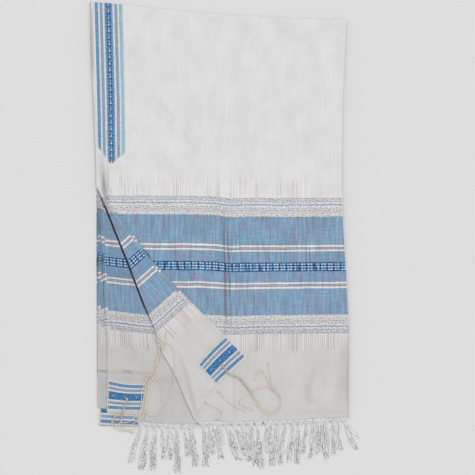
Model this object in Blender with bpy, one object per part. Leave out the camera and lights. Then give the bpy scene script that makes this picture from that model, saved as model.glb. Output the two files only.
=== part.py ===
"""A prayer shawl folded in four and laid flat, one corner turned back; built in metres, +Z up.

The cloth lies with its mid-length fold away from the viewer (+Y), its lengthwise fold at
the right (+X) and its fringed hems towards the viewer (-Y). Z = 0 is the flat underside.
"""

import math

import bmesh
import bpy
from mathutils import Vector

# Every size and table in this file is in millimetres, and MM turns it into metres
MM = 0.001

# Thickness of the cloth and the heights that follow from it
CLOTH = 1.2
SEAM = 0.3
PATCH = 1.0
UNDER_TOP = 4.6
UNDER_LAYER = UNDER_TOP / 2
SECOND_MID = UNDER_TOP + SEAM + CLOTH / 2
FRONT_MID = SECOND_MID + CLOTH + SEAM
CORNER_MID = FRONT_MID + CLOTH + SEAM
FOLD_RADIUS = (CORNER_MID - FRONT_MID) / 2

# Rolls of the front cloth over the layers that it covers
TOP_ROLL = 3.0
SIDE_ROLL = 1.5
SECOND_INSET_TOP = 3.6
SECOND_INSET_SIDE = 2.0
UNDER_INSET = 1.5
EDGE_ROUND = 0.8

# Stretch of the front cloth that the turned corner keeps, and where the panel stops short
FOLD_STUB = 1.5
PANEL_STOP = 1.8 * (FOLD_RADIUS + FOLD_STUB)

# Share of a roll's radius at which a row is set to draw its curve
ROLL_SHARE = 0.3

# Grid of the cloth walls: steps are lengths, the others are counts
PANEL_STEP = 31.0
CREASE_HALF_WIDTH = 9.0
APEX_TURN = 6.0
LEFT_COLUMNS = 10
RIGHT_COLUMNS = 9
CORNER_STEPS = 22
CORNER_COLUMNS = 8
FOLD_TURNS = 4
SECOND_STEP = 36.0
SECOND_COLUMNS = 16
HEM_STEP = 10.0
OUTLINE_STEP = 40.0
OUTLINE_ROWS = 12
NECKBAND_STEP = 21.7
NECKBAND_COLUMNS = 3
PATCH_ROWS = 4
PATCH_COLUMNS = 5

# How fast the bow of the top fold and the shape of a hem fade along the cloth, as powers
BOW_FADE = 3
CORNER_BOW_FADE = 4
SECOND_HEM_FADE = 6
# Power that sets the second layer's columns closer together at the left, where it shows
SECOND_SPACING = 1.25

# Front panel: its two side edges from the top fold to the hem. Below the apex the left
# edge is the line along which the corner is turned back.
# columns: left x, left y, crease x, right x, right y
FRONT_ROWS = (
    (-289, 513, 6, 264, 469),
    (-288, 403, 0, 261, 396),
    (-283, 292, -4, 256, 290),
    (-279, 153, -5, 254, 150),
    (-277, 107, -6, 255, 104),
    (-241, 13, -6, 258, 11),
    (-200, -95, -4, 265, -97),
    (-159, -203, 4, 270, -203),
    (-144, -251, 6, 270, -251),
    (-108, -304, 8, 269, -303),
    (-63, -404, 10, 269, -394),
)
APEX_ROW = 4
# How far the top fold and the hem lie below a straight line between their ends
TOP_BOW = 9.0
SECOND_TOP_BOW = 10.0
HEM_BOW = 3.0

# Turned corner: the line of the fold and the free edge, station by station from the apex
# columns: fold x, fold y, free x, free y
CORNER_ROWS = (
    (-271, 92, -266, 93),
    (-241, 13, -205, 15),
    (-212, -62, -150, -59),
    (-180, -146, -98, -115),
    (-159, -203, -50, -164),
    (-144, -251, -17, -197),
    (-108, -304, 14, -229),
    (-85, -355, 36, -251),
    (-64, -399, 52, -267),
)
# How far the corner's hem bows towards its patch
CORNER_HEM_BOW = 17.0

# Second layer: its side edges from the top fold to the hem, under the front panel
# columns: left x, left y
SECOND_LEFT = (
    (-284, 508),
    (-276, 292),
    (-263, 107),
    (-258, -8),
    (-255, -159),
    (-253, -225),
    (-253, -300),
    (-253, -383),
)
SECOND_HEM_RIGHT_Y = -391
# Its hem from the left corner to where the front panel hides it
# columns: x, y
SECOND_HEM = (
    (-253, -383),
    (-194, -386),
    (-186, -404),
    (-118, -410),
    (-65, -410),
    (-55, -399),
    (0, -395),
    (266, -391),
)

# Under layers: corners of the fourth layer that show, and how the third layer differs
# columns: fourth layer x, fourth layer y, third layer x, third layer y
UNDER_HEM = (
    (160, -391, 160, -391),
    (56, -393, 56, -393),
    (-63, -399, -63, -399),
    (-118, -402, -118, -402),
    (-168, -402, -162, -402),
    (-184, -414, -185, -374),
    (-228, -413, -230, -373),
    (-271, -412, -274, -372),
    (-270, -374, -275, -340),
    (-277, -294, -275, -294),
    (-277, -8, -275, -8),
    (-278, 101, -276, 101),
    (-282, 296, -281, 296),
)

UNDER_CORNER = (266, -389)
UNDER_LEFT_TOP = (-286, 403)
# Lowest and highest station of their right edge, and the step between stations
UNDER_RIGHT = (-380, 440)
UNDER_STEP = 45.0
UNDER_TOP_STATIONS = 11
# How far the ends of their top edge are drawn in beyond the inset
UNDER_TOP_DRAW = 1.6
# Groove between the third and the fourth layer: half its width, and its depth
GROOVE_HALF = 0.05
GROOVE_DEPTH = 0.2

# Creases that stand up from a panel: a straight ridge that fades at both ends
# columns: x from, y from, x to, y to, height, half width
FRONT_CREASES = (
    (2, 300, -5, 40, 1.2, 9),
    (-6, 60, 3, -185, 2.2, 9),
    (-152, 308, -66, 212, 1.6, 22),
    (-66, 212, -30, 165, 1.1, 22),
    (-118, -21, -62, -92, 1.4, 22),
    (145, 30, 172, -120, 1.5, 22),
    (171, -318, 171, -385, 1.5, 22),
    (120, 455, 210, 405, 1.2, 26),
)
CORNER_CREASES = (
    (-106, -240, -76, -300, 1.6, 14),
    (-76, -300, -56, -392, 2.4, 12),
    (-150, -150, -100, -215, 0.9, 20),
)

# Neckband: its outline on the front panel, from the top fold to its point
# columns: left x, left y, right x, right y
NECKBAND_ROWS = (
    (-283.5, 508.5, -220, 503.5),
    (-283, 403, -219, 400),
    (-279.5, 296, -217, 294),
    (-277, 240, -216, 240),
    (-274.5, 196, -215, 192),
    (-262, 177, -232, 173),
    (-249, 159, -245, 158.5),
)

# Patches: four corners each, in order round the patch from its outer hem side
# columns: x, y
PATCH_TURNED = ((5, -221), (42, -260), (-18, -315), (-54, -277))
PATCH_SECOND = ((-250, -308), (-175, -312), (-179, -381), (-250, -378))
PATCH_LOWEST = ((-268, -376), (-188, -377), (-188, -411), (-268, -409))

# Fringe: each tassel hangs from a strip along the hem, as a few strands side by side
STRAND_WIDTH = 2.4
STRAND_HEIGHT = 2.2
STRAND_PITCH = 3.8
STRAND_STEPS = 5
STRAND_SPREAD = 1.2
STRAND_STAGGER = 2.0
KNOT_SWELL = 1.2
TIP_SHRINK = 0.75
STRIP_START = SEAM + 0.2
STRIP_END = SEAM + 2.4
STRIP_HEIGHT = 1.6
STRIP_SINK = 0.4
SECOND_STRIP_DROP = 0.4
FRONT_STRIP_DROP = 0.1
FLOOR_GAP = 0.6
# columns: root x, tip x, tip y, sideways sway half way down, strands
FRINGE_FRONT = (
    (-46, -40, -500, 3, 3),
    (-31, -25, -474, 2, 2),
    (-21, -20, -452, 1, 1),
    (-11, -7, -483, -2, 3),
    (6, 31, -487, -3, 3),
    (23, 52, -488, -2, 2),
    (39, 68, -497, -2, 3),
    (55, 65, -458, -1, 2),
    (74, 81, -504, 1, 3),
    (94, 94, -472, 1, 2),
    (105, 101, -450, 0, 1),
    (119, 104, -498, -2, 3),
    (135, 122, -497, -1, 2),
    (150, 142, -490, 2, 2),
    (164, 158, -494, -2, 3),
    (180, 172, -472, 2, 2),
    (193, 188, -483, 2, 2),
    (205, 204, -472, -2, 2),
    (212.5, 212, -460, 0, 1),
    (221, 222, -483, -2, 3),
    (237, 238, -474, 1, 2),
    (250, 254, -466, -1, 2),
    (263, 286, -464, -6, 2),
)
FRINGE_SECOND = (
    (-179, -204, -491, -1, 2),
    (-166, -180, -507, 2, 3),
    (-150, -156, -509, -2, 3),
    (-134, -132, -486, 2, 2),
    (-119, -116, -485, -2, 2),
    (-103, -101, -513.5, 2, 3),
    (-87, -79, -478, 2, 2),
    (-73, -64, -500, 3, 3),
)
# Tassels of the turned corner's hem lie on the front panel, point by point
# columns: x, y
CORNER_STRIP = (
    (-52, -372.5),
    (-45, -363),
    (-38, -355.5),
    (-29, -347),
    (-20, -339),
    (-11, -331.5),
    (-4, -325.5),
)
# Stretches of that strip from which its two tassels hang, and their first run straight out
CORNER_STRAND_PLACES = (1, 4)
CORNER_STRAND_AHEAD = 1.5
CORNER_STRAND_STEP = 8.0
CORNER_STRANDS = (
    ((-33, -366), (-20, -371), (-9, -377), (-5, -386), (-9, -394), (-17, -398)),
    ((-7, -343), (4, -355), (22, -369), (44, -379)),
)

# Corner tassels: a wound head and its free strands, laid on whatever is under them
THREAD = 2.2
THREAD_PITCH = 2.7
THREAD_STEP = 7.0
THREAD_AHEAD = 2 * THREAD
LAY_GAP = 0.35
# columns: x, y, lift above what it lies on
HEAD_TURNED = ((-6, -276, 0), (10, -297, 0), (29, -305, 0), (42, -317, 0), (55, -333, 0))
THREADS_TURNED = (
    ((66, -332, 0), (79, -328, 0), (91, -326, 0)),
    (
        (66, -348, 0),
        (77, -366, 0),
        (88, -378, 0),
        (99, -382, 0),
        (110, -378, 0),
        (118, -368, 0),
        (120, -356, 0),
        (114, -343, 0),
        (101, -331, 0),
        (95, -312, 0),
        (82, -293, 0),
        (70, -297, 0),
        (67, -311, 0),
    ),
    (
        (63, -352, 0),
        (73, -370, 0),
        (85, -384, 0),
        (99, -389, 0),
        (113, -385, 0),
        (124, -372, 0),
        (127, -355, 0),
        (120, -338, 0),
        (107, -326, 0),
        (102, -309, 0),
        (97, -290, 0),
        (96, -273, 0),
    ),
    ((49, -345, 0), (38, -352, 0), (33, -362, 0), (45, -370, 0), (63, -377, 0)),
)
HEAD_SECOND = ((-211, -353, 0), (-215, -366, 0), (-219, -380, 0), (-223, -394, 0))
THREADS_SECOND = (
    (
        (-221, -402, 0),
        (-216, -405, 0),
        (-208, -403, 0),
        (-200, -397, 0),
        (-190, -388, 3),
        (-180, -381, 3.4),
        (-167, -383, 3.4),
        (-156, -389, 1),
        (-142, -386, 0),
        (-129, -368, 0),
        (-117, -339, 0),
        (-109, -311, 0.6),
        (-107, -280, 1.2),
        (-112, -254, 0.8),
    ),
    (
        (-224, -405, 0),
        (-218, -411, 0),
        (-209, -411, 0),
        (-197, -406, 1),
        (-185, -394, 0),
        (-177, -362, 0),
        (-169, -322, 0),
        (-156, -295, 0),
        (-146, -264, 0),
        (-142, -238, 0),
        (-145, -218, 0),
    ),
    (
        (-228, -407, 0),
        (-225, -415, 0),
        (-214, -420, 0),
        (-200, -419, 1),
        (-189, -411, 3),
        (-178, -399, 1.5),
        (-170, -362, 0),
        (-162, -322, 0),
        (-149, -297, 0),
        (-139, -268, 0),
        (-133, -246, 0),
        (-127, -229, 0),
        (-126, -206, 0),
    ),
)
HEAD_LOWEST = ((-229, -388, 0), (-238, -391, 0))
THREADS_LOWEST = (
    ((-243, -397, 0), (-243, -408, 0), (-236, -418, 0), (-222, -424, 0), (-209, -424, 0), (-196, -427, 0)),
)

# Looks: colour, roughness
WHITE_CLOTH = ((0.80, 0.79, 0.78), 0.55)
GREY_CLOTH = ((0.66, 0.65, 0.64), 0.6)
BLUE_BAND = ((0.20, 0.40, 0.58), 0.5)
NATURAL_THREAD = ((0.72, 0.68, 0.58), 0.6)


def material(name, look):
    """Gives the Principled material of one finish."""
    colour, roughness = look
    made = bpy.data.materials.new(name)
    made.use_nodes = True
    shader = made.node_tree.nodes["Principled BSDF"]
    shader.inputs["Base Color"].default_value = (*colour, 1.0)
    shader.inputs["Roughness"].default_value = roughness
    shader.inputs["Metallic"].default_value = 0.0
    return made


def solid(name, points, faces, look):
    """Adds one closed body from points in millimetres, with its faces turned outwards."""
    mesh = bpy.data.meshes.new(name)
    body = bmesh.new()
    verts = [body.verts.new(Vector(p) * MM) for p in points]
    for face in faces:
        body.faces.new([verts[i] for i in face])
    bmesh.ops.recalc_face_normals(body, faces=body.faces)
    bmesh.ops.triangulate(body, faces=body.faces)
    body.to_mesh(mesh)
    body.free()
    mesh.materials.append(material(name, look))
    piece = bpy.data.objects.new(name, mesh)
    bpy.context.scene.collection.objects.link(piece)
    return piece


def along(table, t):
    """Reads a table of stations at a share t of its length in rows, from 0 to 1."""
    place = min(max(t, 0.0), 1.0) * (len(table) - 1)
    low = min(int(place), len(table) - 2)
    share = place - low
    return [a + (b - a) * share for a, b in zip(table[low], table[low + 1])]


def at_height(table, y, column):
    """Gives the share of a table's length at which its descending y column passes y."""
    for k in range(len(table) - 1):
        high, low = table[k][column], table[k + 1][column]
        if y >= low:
            return (k + (high - y) / (high - low)) / (len(table) - 1)
    return 1.0


def curve(points, step):
    """Runs a smooth curve through the points and gives places about one step apart."""
    line = [Vector(p) for p in points]
    line = [line[0] * 2 - line[1]] + line + [line[-1] * 2 - line[-2]]
    made = []
    for before, start, end, after in zip(line, line[1:], line[2:], line[3:]):
        count = max(1, round((end - start).length / step))
        for k in range(count):
            t = k / count
            made.append(
                0.5
                * (
                    2 * start
                    + (end - before) * t
                    + (2 * before - 5 * start + 4 * end - after) * t**2
                    + (3 * start - before - 3 * end + after) * t**3
                )
            )
    return made + [line[-2]]


def ridge(creases, x, y):
    """Gives the height that a table of creases adds at one place."""
    height = 0.0
    for x0, y0, x1, y1, top, half_width in creases:
        run = Vector((x1 - x0, y1 - y0))
        to = Vector((x - x0, y - y0))
        share = to.dot(run) / run.length_squared
        across = abs(to.cross(run)) / run.length
        if 0.0 < share < 1.0 and across < half_width:
            fade = math.sqrt(math.sin(math.pi * share))
            height += top * fade * math.cos(math.pi / 2 * across / half_width) ** 2
    return height


def roll_drop(distance, radius):
    """Gives how far a cloth has rolled down at a distance from its rolled edge."""
    if distance >= radius:
        return 0.0
    return radius - math.sqrt(radius**2 - (radius - distance) ** 2)


def wall(name, grid, thickness, look):
    """Makes a closed wall of even thickness from a grid of points on its middle surface."""
    rows, columns = len(grid), len(grid[0])

    def normal(r, c):
        down = grid[min(r + 1, rows - 1)][c] - grid[max(r - 1, 0)][c]
        right = grid[r][min(c + 1, columns - 1)] - grid[r][max(c - 1, 0)]
        return down.cross(right).normalized()

    points = []
    for side in (0.5, -0.5):
        for r in range(rows):
            for c in range(columns):
                points.append(grid[r][c] + normal(r, c) * thickness * side)
    under = rows * columns
    faces = []
    for r in range(rows - 1):
        for c in range(columns - 1):
            quad = (r * columns + c, (r + 1) * columns + c, (r + 1) * columns + c + 1, r * columns + c + 1)
            faces.append(quad)
            faces.append(tuple(under + i for i in reversed(quad)))
    rim = [c for c in range(columns)]
    rim += [r * columns + columns - 1 for r in range(1, rows)]
    rim += [(rows - 1) * columns + c for c in range(columns - 2, -1, -1)]
    rim += [r * columns for r in range(rows - 2, 0, -1)]
    for a, b in zip(rim, rim[1:] + rim[:1]):
        faces.append((a, b, under + b, under + a))
    return solid(name, points, faces, look)


def steps(low, high, size):
    """Gives evenly spaced values from low to high, about one size apart."""
    count = max(1, round(abs(high - low) / size))
    return [low + (high - low) * k / count for k in range(count + 1)]


def front_edges(y):
    """Gives the left, crease and right places of the front panel's row at one left height."""
    t = at_height(FRONT_ROWS, y, 1)
    left_x, left_y, crease_x, right_x, right_y = along(FRONT_ROWS, t)
    if t * (len(FRONT_ROWS) - 1) > APEX_ROW:
        left_x += PANEL_STOP
    return Vector((left_x, left_y)), crease_x, Vector((right_x, right_y))


def front_bow(x, left, right):
    """Gives how far the top fold or the hem bows at x: none at its ends, all in the middle."""
    share = (x - left.x) / (right.x - left.x)
    return 4 * share * (1 - share)


def front_panel():
    """Front cloth: rolled down at the top and right folds, open along the turned corner."""
    top, hem = FRONT_ROWS[0][1], FRONT_ROWS[-1][1]
    length = top - hem
    heights = [top, top - TOP_ROLL * ROLL_SHARE]
    heights += steps(top - TOP_ROLL, FRONT_ROWS[APEX_ROW][1], PANEL_STEP)
    heights += steps(FRONT_ROWS[APEX_ROW][1] - APEX_TURN, hem, PANEL_STEP)
    grid = []
    for y in heights:
        left, crease_x, right = front_edges(y)
        low, high = crease_x - CREASE_HALF_WIDTH, crease_x + CREASE_HALF_WIDTH
        flat_right = right.x - SIDE_ROLL
        places = [left.x + (low - left.x) * k / LEFT_COLUMNS for k in range(LEFT_COLUMNS)]
        places += steps(low, high, CREASE_HALF_WIDTH / 2)
        places += [high + (flat_right - high) * k / RIGHT_COLUMNS for k in range(1, RIGHT_COLUMNS + 1)]
        places += [right.x - SIDE_ROLL * ROLL_SHARE, right.x]
        down = (top - y) / length
        row = []
        for x in places:
            share = (x - left.x) / (right.x - left.x)
            bow = front_bow(x, left, right)
            bow *= TOP_BOW * (1 - down) ** BOW_FADE + HEM_BOW * down**BOW_FADE
            place_y = left.y + (right.y - left.y) * share - bow
            drop = max(roll_drop(top - y, TOP_ROLL), roll_drop(right.x - x, SIDE_ROLL))
            height = FRONT_MID + ridge(FRONT_CREASES, x, place_y) - drop
            row.append(Vector((x, place_y, height)))
        grid.append(row)
    return wall("front_panel", grid, CLOTH, WHITE_CLOTH)


def corner_place(u, v):
    """Gives a place on the turned corner: u from the fold to the free edge, v down to the hem."""
    fold_x, fold_y, free_x, free_y = along(CORNER_ROWS, v)
    fold, free = Vector((fold_x, fold_y)), Vector((free_x, free_y))
    across = (free - fold).normalized()
    upward = Vector((-across.y, across.x))
    return fold.lerp(free, u) + upward * CORNER_HEM_BOW * 4 * u * (1 - u) * v**CORNER_BOW_FADE


def corner_height(x, y):
    """Gives the height of the turned corner's middle surface."""
    return CORNER_MID + ridge(CORNER_CREASES, x, y)


def turned_corner():
    """Corner of the front cloth, with the roll of its fold and a stub of the flat cloth."""
    roll = [(FOLD_RADIUS + FOLD_STUB, FRONT_MID)]
    for k in range(FOLD_TURNS + 1):
        turn = math.pi * k / FOLD_TURNS
        offset = FOLD_RADIUS * (1 - math.sin(turn))
        roll.append((offset, FRONT_MID + FOLD_RADIUS * (1 - math.cos(turn))))
    grid = []
    for r in range(CORNER_STEPS + 1):
        v = r / CORNER_STEPS
        fold, free = corner_place(0, v), corner_place(1, v)
        across = (free - fold).normalized()
        row = [Vector((*(fold + across * offset), z)) for offset, z in roll]
        start = FOLD_RADIUS / (free - fold).length
        for k in range(1, CORNER_COLUMNS + 1):
            place = corner_place(start + (1 - start) * k / CORNER_COLUMNS, v)
            row.append(Vector((*place, corner_height(*place))))
        grid.append(row)
    return wall("turned_corner", grid, CLOTH, WHITE_CLOTH)


def second_layer():
    """Second stretch of the cloth: it shows left of the turned corner."""
    top, hem = SECOND_LEFT[0][1], SECOND_LEFT[-1][1]
    top_right = FRONT_ROWS[0][4] - SECOND_INSET_TOP
    hem_line = curve(SECOND_HEM, HEM_STEP)
    grid = []
    for y in steps(top, hem, SECOND_STEP):
        down = (top - y) / (top - hem)
        left_x, left_y = along(SECOND_LEFT, at_height(SECOND_LEFT, y, 1))
        right_y = top_right + (SECOND_HEM_RIGHT_Y - top_right) * down
        right_x = along(FRONT_ROWS, at_height(FRONT_ROWS, right_y, 4))[3] - SECOND_INSET_SIDE
        row = []
        for k in range(SECOND_COLUMNS + 1):
            share = (k / SECOND_COLUMNS) ** SECOND_SPACING
            x = left_x + (right_x - left_x) * share
            bow = 4 * share * (1 - share) * SECOND_TOP_BOW * (1 - down) ** BOW_FADE
            straight_hem = hem + (SECOND_HEM_RIGHT_Y - hem) * share
            place_y = left_y + (right_y - left_y) * share - bow
            place_y += (hem_height(hem_line, x) - straight_hem) * down**SECOND_HEM_FADE
            row.append(Vector((x, place_y, SECOND_MID)))
        grid.append(row)
    return wall("second_layer", grid, CLOTH, WHITE_CLOTH)


def hem_height(line, x):
    """Reads the y of a hem that runs left to right, at one x."""
    for a, b in zip(line, line[1:]):
        if a.x <= x <= b.x:
            return a.y + (b.y - a.y) * (x - a.x) / (b.x - a.x)
    return line[0].y if x < line[0].x else line[-1].y


def inset(loop, distance):
    """Moves a closed loop of places inwards; the loop runs anticlockwise."""
    moved = []
    for k, place in enumerate(loop):
        before = (place - loop[k - 1]).normalized()
        after = (loop[(k + 1) % len(loop)] - place).normalized()
        run = (before + after).normalized()
        moved.append(place + Vector((-run.y, run.x)) * distance)
    return moved


def under_layers():
    """Third and fourth stretch as one rounded solid, with a groove between them at its edge."""
    right_edge = []
    for y in steps(*UNDER_RIGHT, UNDER_STEP):
        x = along(FRONT_ROWS, at_height(FRONT_ROWS, y, 4))[3]
        right_edge.append(Vector((x - UNDER_INSET, y)))
    left, right = Vector(FRONT_ROWS[0][:2]), Vector(FRONT_ROWS[0][3:])
    top_edge = []
    for k in range(UNDER_TOP_STATIONS + 1):
        share = k / UNDER_TOP_STATIONS
        x = right.x + (left.x - right.x) * share
        bow = front_bow(x, left, right) * TOP_BOW
        y = right.y + (left.y - right.y) * share - bow - UNDER_INSET
        top_edge.append(Vector((x + UNDER_INSET * (2 * share - 1) * UNDER_TOP_DRAW, y)))
    left_edge = [Vector(UNDER_LEFT_TOP)]
    fourth = [Vector((x, y)) for x, y, _, _ in reversed(UNDER_HEM)]
    third = [Vector((x, y)) for _, _, x, y in reversed(UNDER_HEM)]
    corner = [Vector(UNDER_CORNER)]
    shared = corner + right_edge + top_edge + left_edge
    fourth, third = shared + fourth, shared + third
    # columns: outline, inset, height
    profile = (
        (fourth, EDGE_ROUND, 0.0),
        (fourth, 0.0, EDGE_ROUND),
        (fourth, 0.0, UNDER_LAYER - EDGE_ROUND),
        (fourth, EDGE_ROUND, UNDER_LAYER - GROOVE_HALF),
        (third, EDGE_ROUND + GROOVE_DEPTH, UNDER_LAYER + GROOVE_HALF),
        (third, 0.0, UNDER_LAYER + EDGE_ROUND),
        (third, 0.0, UNDER_TOP - EDGE_ROUND),
        (third, EDGE_ROUND, UNDER_TOP),
    )
    count = len(fourth)
    points = []
    for outline, distance, z in profile:
        points += [Vector((*place, z)) for place in inset(outline, distance)]
    faces = [tuple(reversed(range(count))), tuple(range((len(profile) - 1) * count, len(profile) * count))]
    for level in range(len(profile) - 1):
        for k in range(count):
            a, b = level * count + k, level * count + (k + 1) % count
            faces.append((a, b, b + count, a + count))
    return solid("under_layers", points, faces, GREY_CLOTH)


def neckband():
    """Neckband on the front panel's left edge, from its points moved out."""
    grid = []
    top = NECKBAND_ROWS[0][1]
    lift = (CLOTH + PATCH) / 2 + SEAM
    for y in steps(top, NECKBAND_ROWS[-1][1], NECKBAND_STEP):
        left_x, left_y, right_x, right_y = along(NECKBAND_ROWS, at_height(NECKBAND_ROWS, y, 1))
        row = []
        for k in range(NECKBAND_COLUMNS + 1):
            share = k / NECKBAND_COLUMNS
            x = left_x + (right_x - left_x) * share
            place_y = left_y + (right_y - left_y) * share
            row.append(Vector((x, place_y, FRONT_MID + ridge(FRONT_CREASES, x, place_y) + lift)))
        grid.append(row)
    return wall("neckband", grid, PATCH, BLUE_BAND)


def patch(name, corners, height):
    """Corner patch between four corners, on a cloth whose middle surface has that height."""
    top_left, top_right, low_right, low_left = (Vector(c) for c in corners)
    grid = []
    for r in range(PATCH_ROWS + 1):
        row = []
        for c in range(PATCH_COLUMNS + 1):
            share = c / PATCH_COLUMNS
            near, far = top_left.lerp(top_right, share), low_left.lerp(low_right, share)
            place = near.lerp(far, r / PATCH_ROWS)
            row.append(Vector((*place, height(*place) + (CLOTH + PATCH) / 2 + SEAM)))
        grid.append(row)
    return wall(name, grid, PATCH, BLUE_BAND)


class Comb:
    """A flat ribbon whose far edge carries strands: one closed body of points and faces."""

    def __init__(self, rows, height):
        self.points = []
        self.faces = []
        self.columns = len(rows[0])
        for row in rows:
            for side in (0.5, -0.5):
                self.points += [p + Vector((0, 0, height * side)) for p in row]
        for r in range(len(rows) - 1):
            near, far = self.edge(r), self.edge(r + 1)
            for c in range(self.columns - 1):
                self.faces.append((near[0][c], near[0][c + 1], far[0][c + 1], far[0][c]))
                self.faces.append((near[1][c], far[1][c], far[1][c + 1], near[1][c + 1]))
            for c in (0, self.columns - 1):
                self.faces.append((near[0][c], far[0][c], far[1][c], near[1][c]))
        first = self.edge(0)
        for c in range(self.columns - 1):
            self.faces.append((first[0][c], first[0][c + 1], first[1][c + 1], first[1][c]))
        self.last = self.edge(len(rows) - 1)

    def edge(self, r):
        """Gives the point numbers of one row: its upper and its lower ones."""
        start = r * 2 * self.columns
        upper = list(range(start, start + self.columns))
        return upper, [i + self.columns for i in upper]

    def plain(self, c):
        """Closes the far edge between two columns, where no strand grows."""
        upper, lower = self.last
        self.faces.append((upper[c], upper[c + 1], lower[c + 1], lower[c]))

    def strand(self, c, path, width, height):
        """Grows a four-sided strand from the far edge along a path; it ends in a knot."""
        upper, lower = self.last
        ring = (upper[c], upper[c + 1], lower[c + 1], lower[c])
        root = (self.points[ring[0]] - self.points[ring[1]]).to_2d()
        for k, place in enumerate(path):
            before = path[k - 1] if k else place
            run = (path[min(k + 1, len(path) - 1)] - before).to_2d()
            side = Vector((-run.y, run.x)).normalized()
            if side.dot(root) < 0:
                side = -side
            root = side
            swell = KNOT_SWELL if k == len(path) - 2 else TIP_SHRINK if k == len(path) - 1 else 1.0
            reach = side.to_3d() * width / 2 * swell
            rise = Vector((0, 0, height / 2 * swell))
            start = len(self.points)
            self.points += [place + reach + rise, place - reach + rise]
            self.points += [place - reach - rise, place + reach - rise]
            grown = (start, start + 1, start + 2, start + 3)
            for i in range(4):
                self.faces.append((ring[i], ring[(i + 1) % 4], grown[(i + 1) % 4], grown[i]))
            ring = grown
        self.faces.append(ring)


def hem_fringe(name, tassels, hem, strip_mid, surfaces):
    """Tied fringe along a hem that runs left to right: a narrow strip and its strands."""
    stations = []
    strands = {}
    for root_x, tip_x, tip_y, sway, count in tassels:
        for k in range(count):
            offset = (k - (count - 1) / 2) * STRAND_PITCH
            strands[len(stations)] = (root_x + offset, tip_x + offset * STRAND_SPREAD, tip_y, sway, k)
            stations += [root_x + offset - STRAND_WIDTH / 2, root_x + offset + STRAND_WIDTH / 2]
    rows = []
    for depth in (STRIP_START, STRIP_END):
        rows.append([Vector((x, hem(x) - depth, strip_mid)) for x in stations])
    comb = Comb(rows, STRIP_HEIGHT)
    for c in range(len(stations) - 1):
        if c not in strands:
            comb.plain(c)
            continue
        root_x, tip_x, tip_y, sway, k = strands[c]
        root_y = hem(root_x) - STRIP_END
        tip_y += STRAND_STAGGER * (k % 2)
        path = []
        for step in range(STRAND_STEPS + 1):
            t = step / STRAND_STEPS
            x = root_x + (tip_x - root_x) * t + sway * math.sin(math.pi * t)
            path.append(Vector((x, root_y + (tip_y - root_y) * t, 0)))
        comb.strand(c, laid(path, surfaces)[1:], STRAND_WIDTH, STRAND_HEIGHT)
    return solid(name, comb.points, comb.faces, WHITE_CLOTH)


def front_hem(x):
    """Gives the y of the front panel's hem at x."""
    left, _, right = front_edges(FRONT_ROWS[-1][1])
    share = (x - left.x) / (right.x - left.x)
    bow = front_bow(x, left, right) * HEM_BOW
    return left.y + (right.y - left.y) * share - bow - FRONT_STRIP_DROP


def inside(outline, x, y, margin):
    """Tells whether a place is inside an outline, or within a margin of its edge."""
    odd = False
    place = Vector((x, y))
    for a, b in zip(outline, outline[1:] + outline[:1]):
        run = b - a
        share = min(max((place - a).dot(run) / run.length_squared, 0.0), 1.0)
        if (a + run * share - place).length < margin:
            return True
        if (a.y > y) != (b.y > y) and x < a.x + (y - a.y) / (b.y - a.y) * run.x:
            odd = not odd
    return odd


def top_surfaces():
    """Lists the outlines that a loose thread can lie on, with the height of each."""
    top, hem = FRONT_ROWS[0][1], FRONT_ROWS[-1][1]
    top_left, top_right = Vector(FRONT_ROWS[0][:2]), Vector(FRONT_ROWS[0][3:])
    rows, columns = range(OUTLINE_ROWS + 1), range(1, CORNER_COLUMNS + 1)
    corner = [corner_place(0, r / OUTLINE_ROWS) for r in rows]
    corner += [corner_place(k / CORNER_COLUMNS, 1) for k in columns]
    corner += [corner_place(1, 1 - r / OUTLINE_ROWS) for r in rows[1:]]
    front = [front_edges(y)[0] for y in steps(top, hem, OUTLINE_STEP)]
    front += [front_edges(y)[2] for y in steps(hem, top, OUTLINE_STEP)]
    second = [Vector(p) for p in SECOND_LEFT + SECOND_HEM[1:]] + [top_right]
    third = [Vector((x, y)) for _, _, x, y in UNDER_HEM] + [top_left]
    fourth = [Vector((x, y)) for x, y, _, _ in UNDER_HEM] + [top_left]
    patches = (
        ([Vector(c) for c in PATCH_TURNED], CORNER_MID + CLOTH / 2 + SEAM + PATCH),
        ([Vector(c) for c in PATCH_SECOND], SECOND_MID + CLOTH / 2 + SEAM + PATCH),
        ([Vector(c) for c in PATCH_LOWEST], UNDER_LAYER + SEAM + PATCH),
    )
    sheets = (
        (corner, CORNER_MID + CLOTH / 2),
        (front, FRONT_MID + CLOTH / 2),
        (second, SECOND_MID + CLOTH / 2),
        (third, UNDER_TOP),
        (fourth, UNDER_LAYER),
    )
    return patches + sheets


def laid(route, surfaces):
    """Lays a route on what is under it: its z clears every surface by the thread's radius."""
    raw = []
    for x, y, lift in route:
        top = 0.0
        for outline, height in surfaces:
            if inside(outline, x, y, THREAD):
                extra = ridge(CORNER_CREASES, x, y) if height > CORNER_MID else ridge(FRONT_CREASES, x, y)
                top = max(top, height + extra)
        raw.append(max(top + LAY_GAP, FLOOR_GAP) + THREAD / 2 + lift)
    high = [max(raw[max(0, k - 1) : k + 2]) for k in range(len(raw))]
    made = []
    for k, place in enumerate(route):
        around = high[max(0, k - 1) : k + 2]
        made.append(Vector((place.x, place.y, max(raw[k], sum(around) / len(around)))))
    return made


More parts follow.
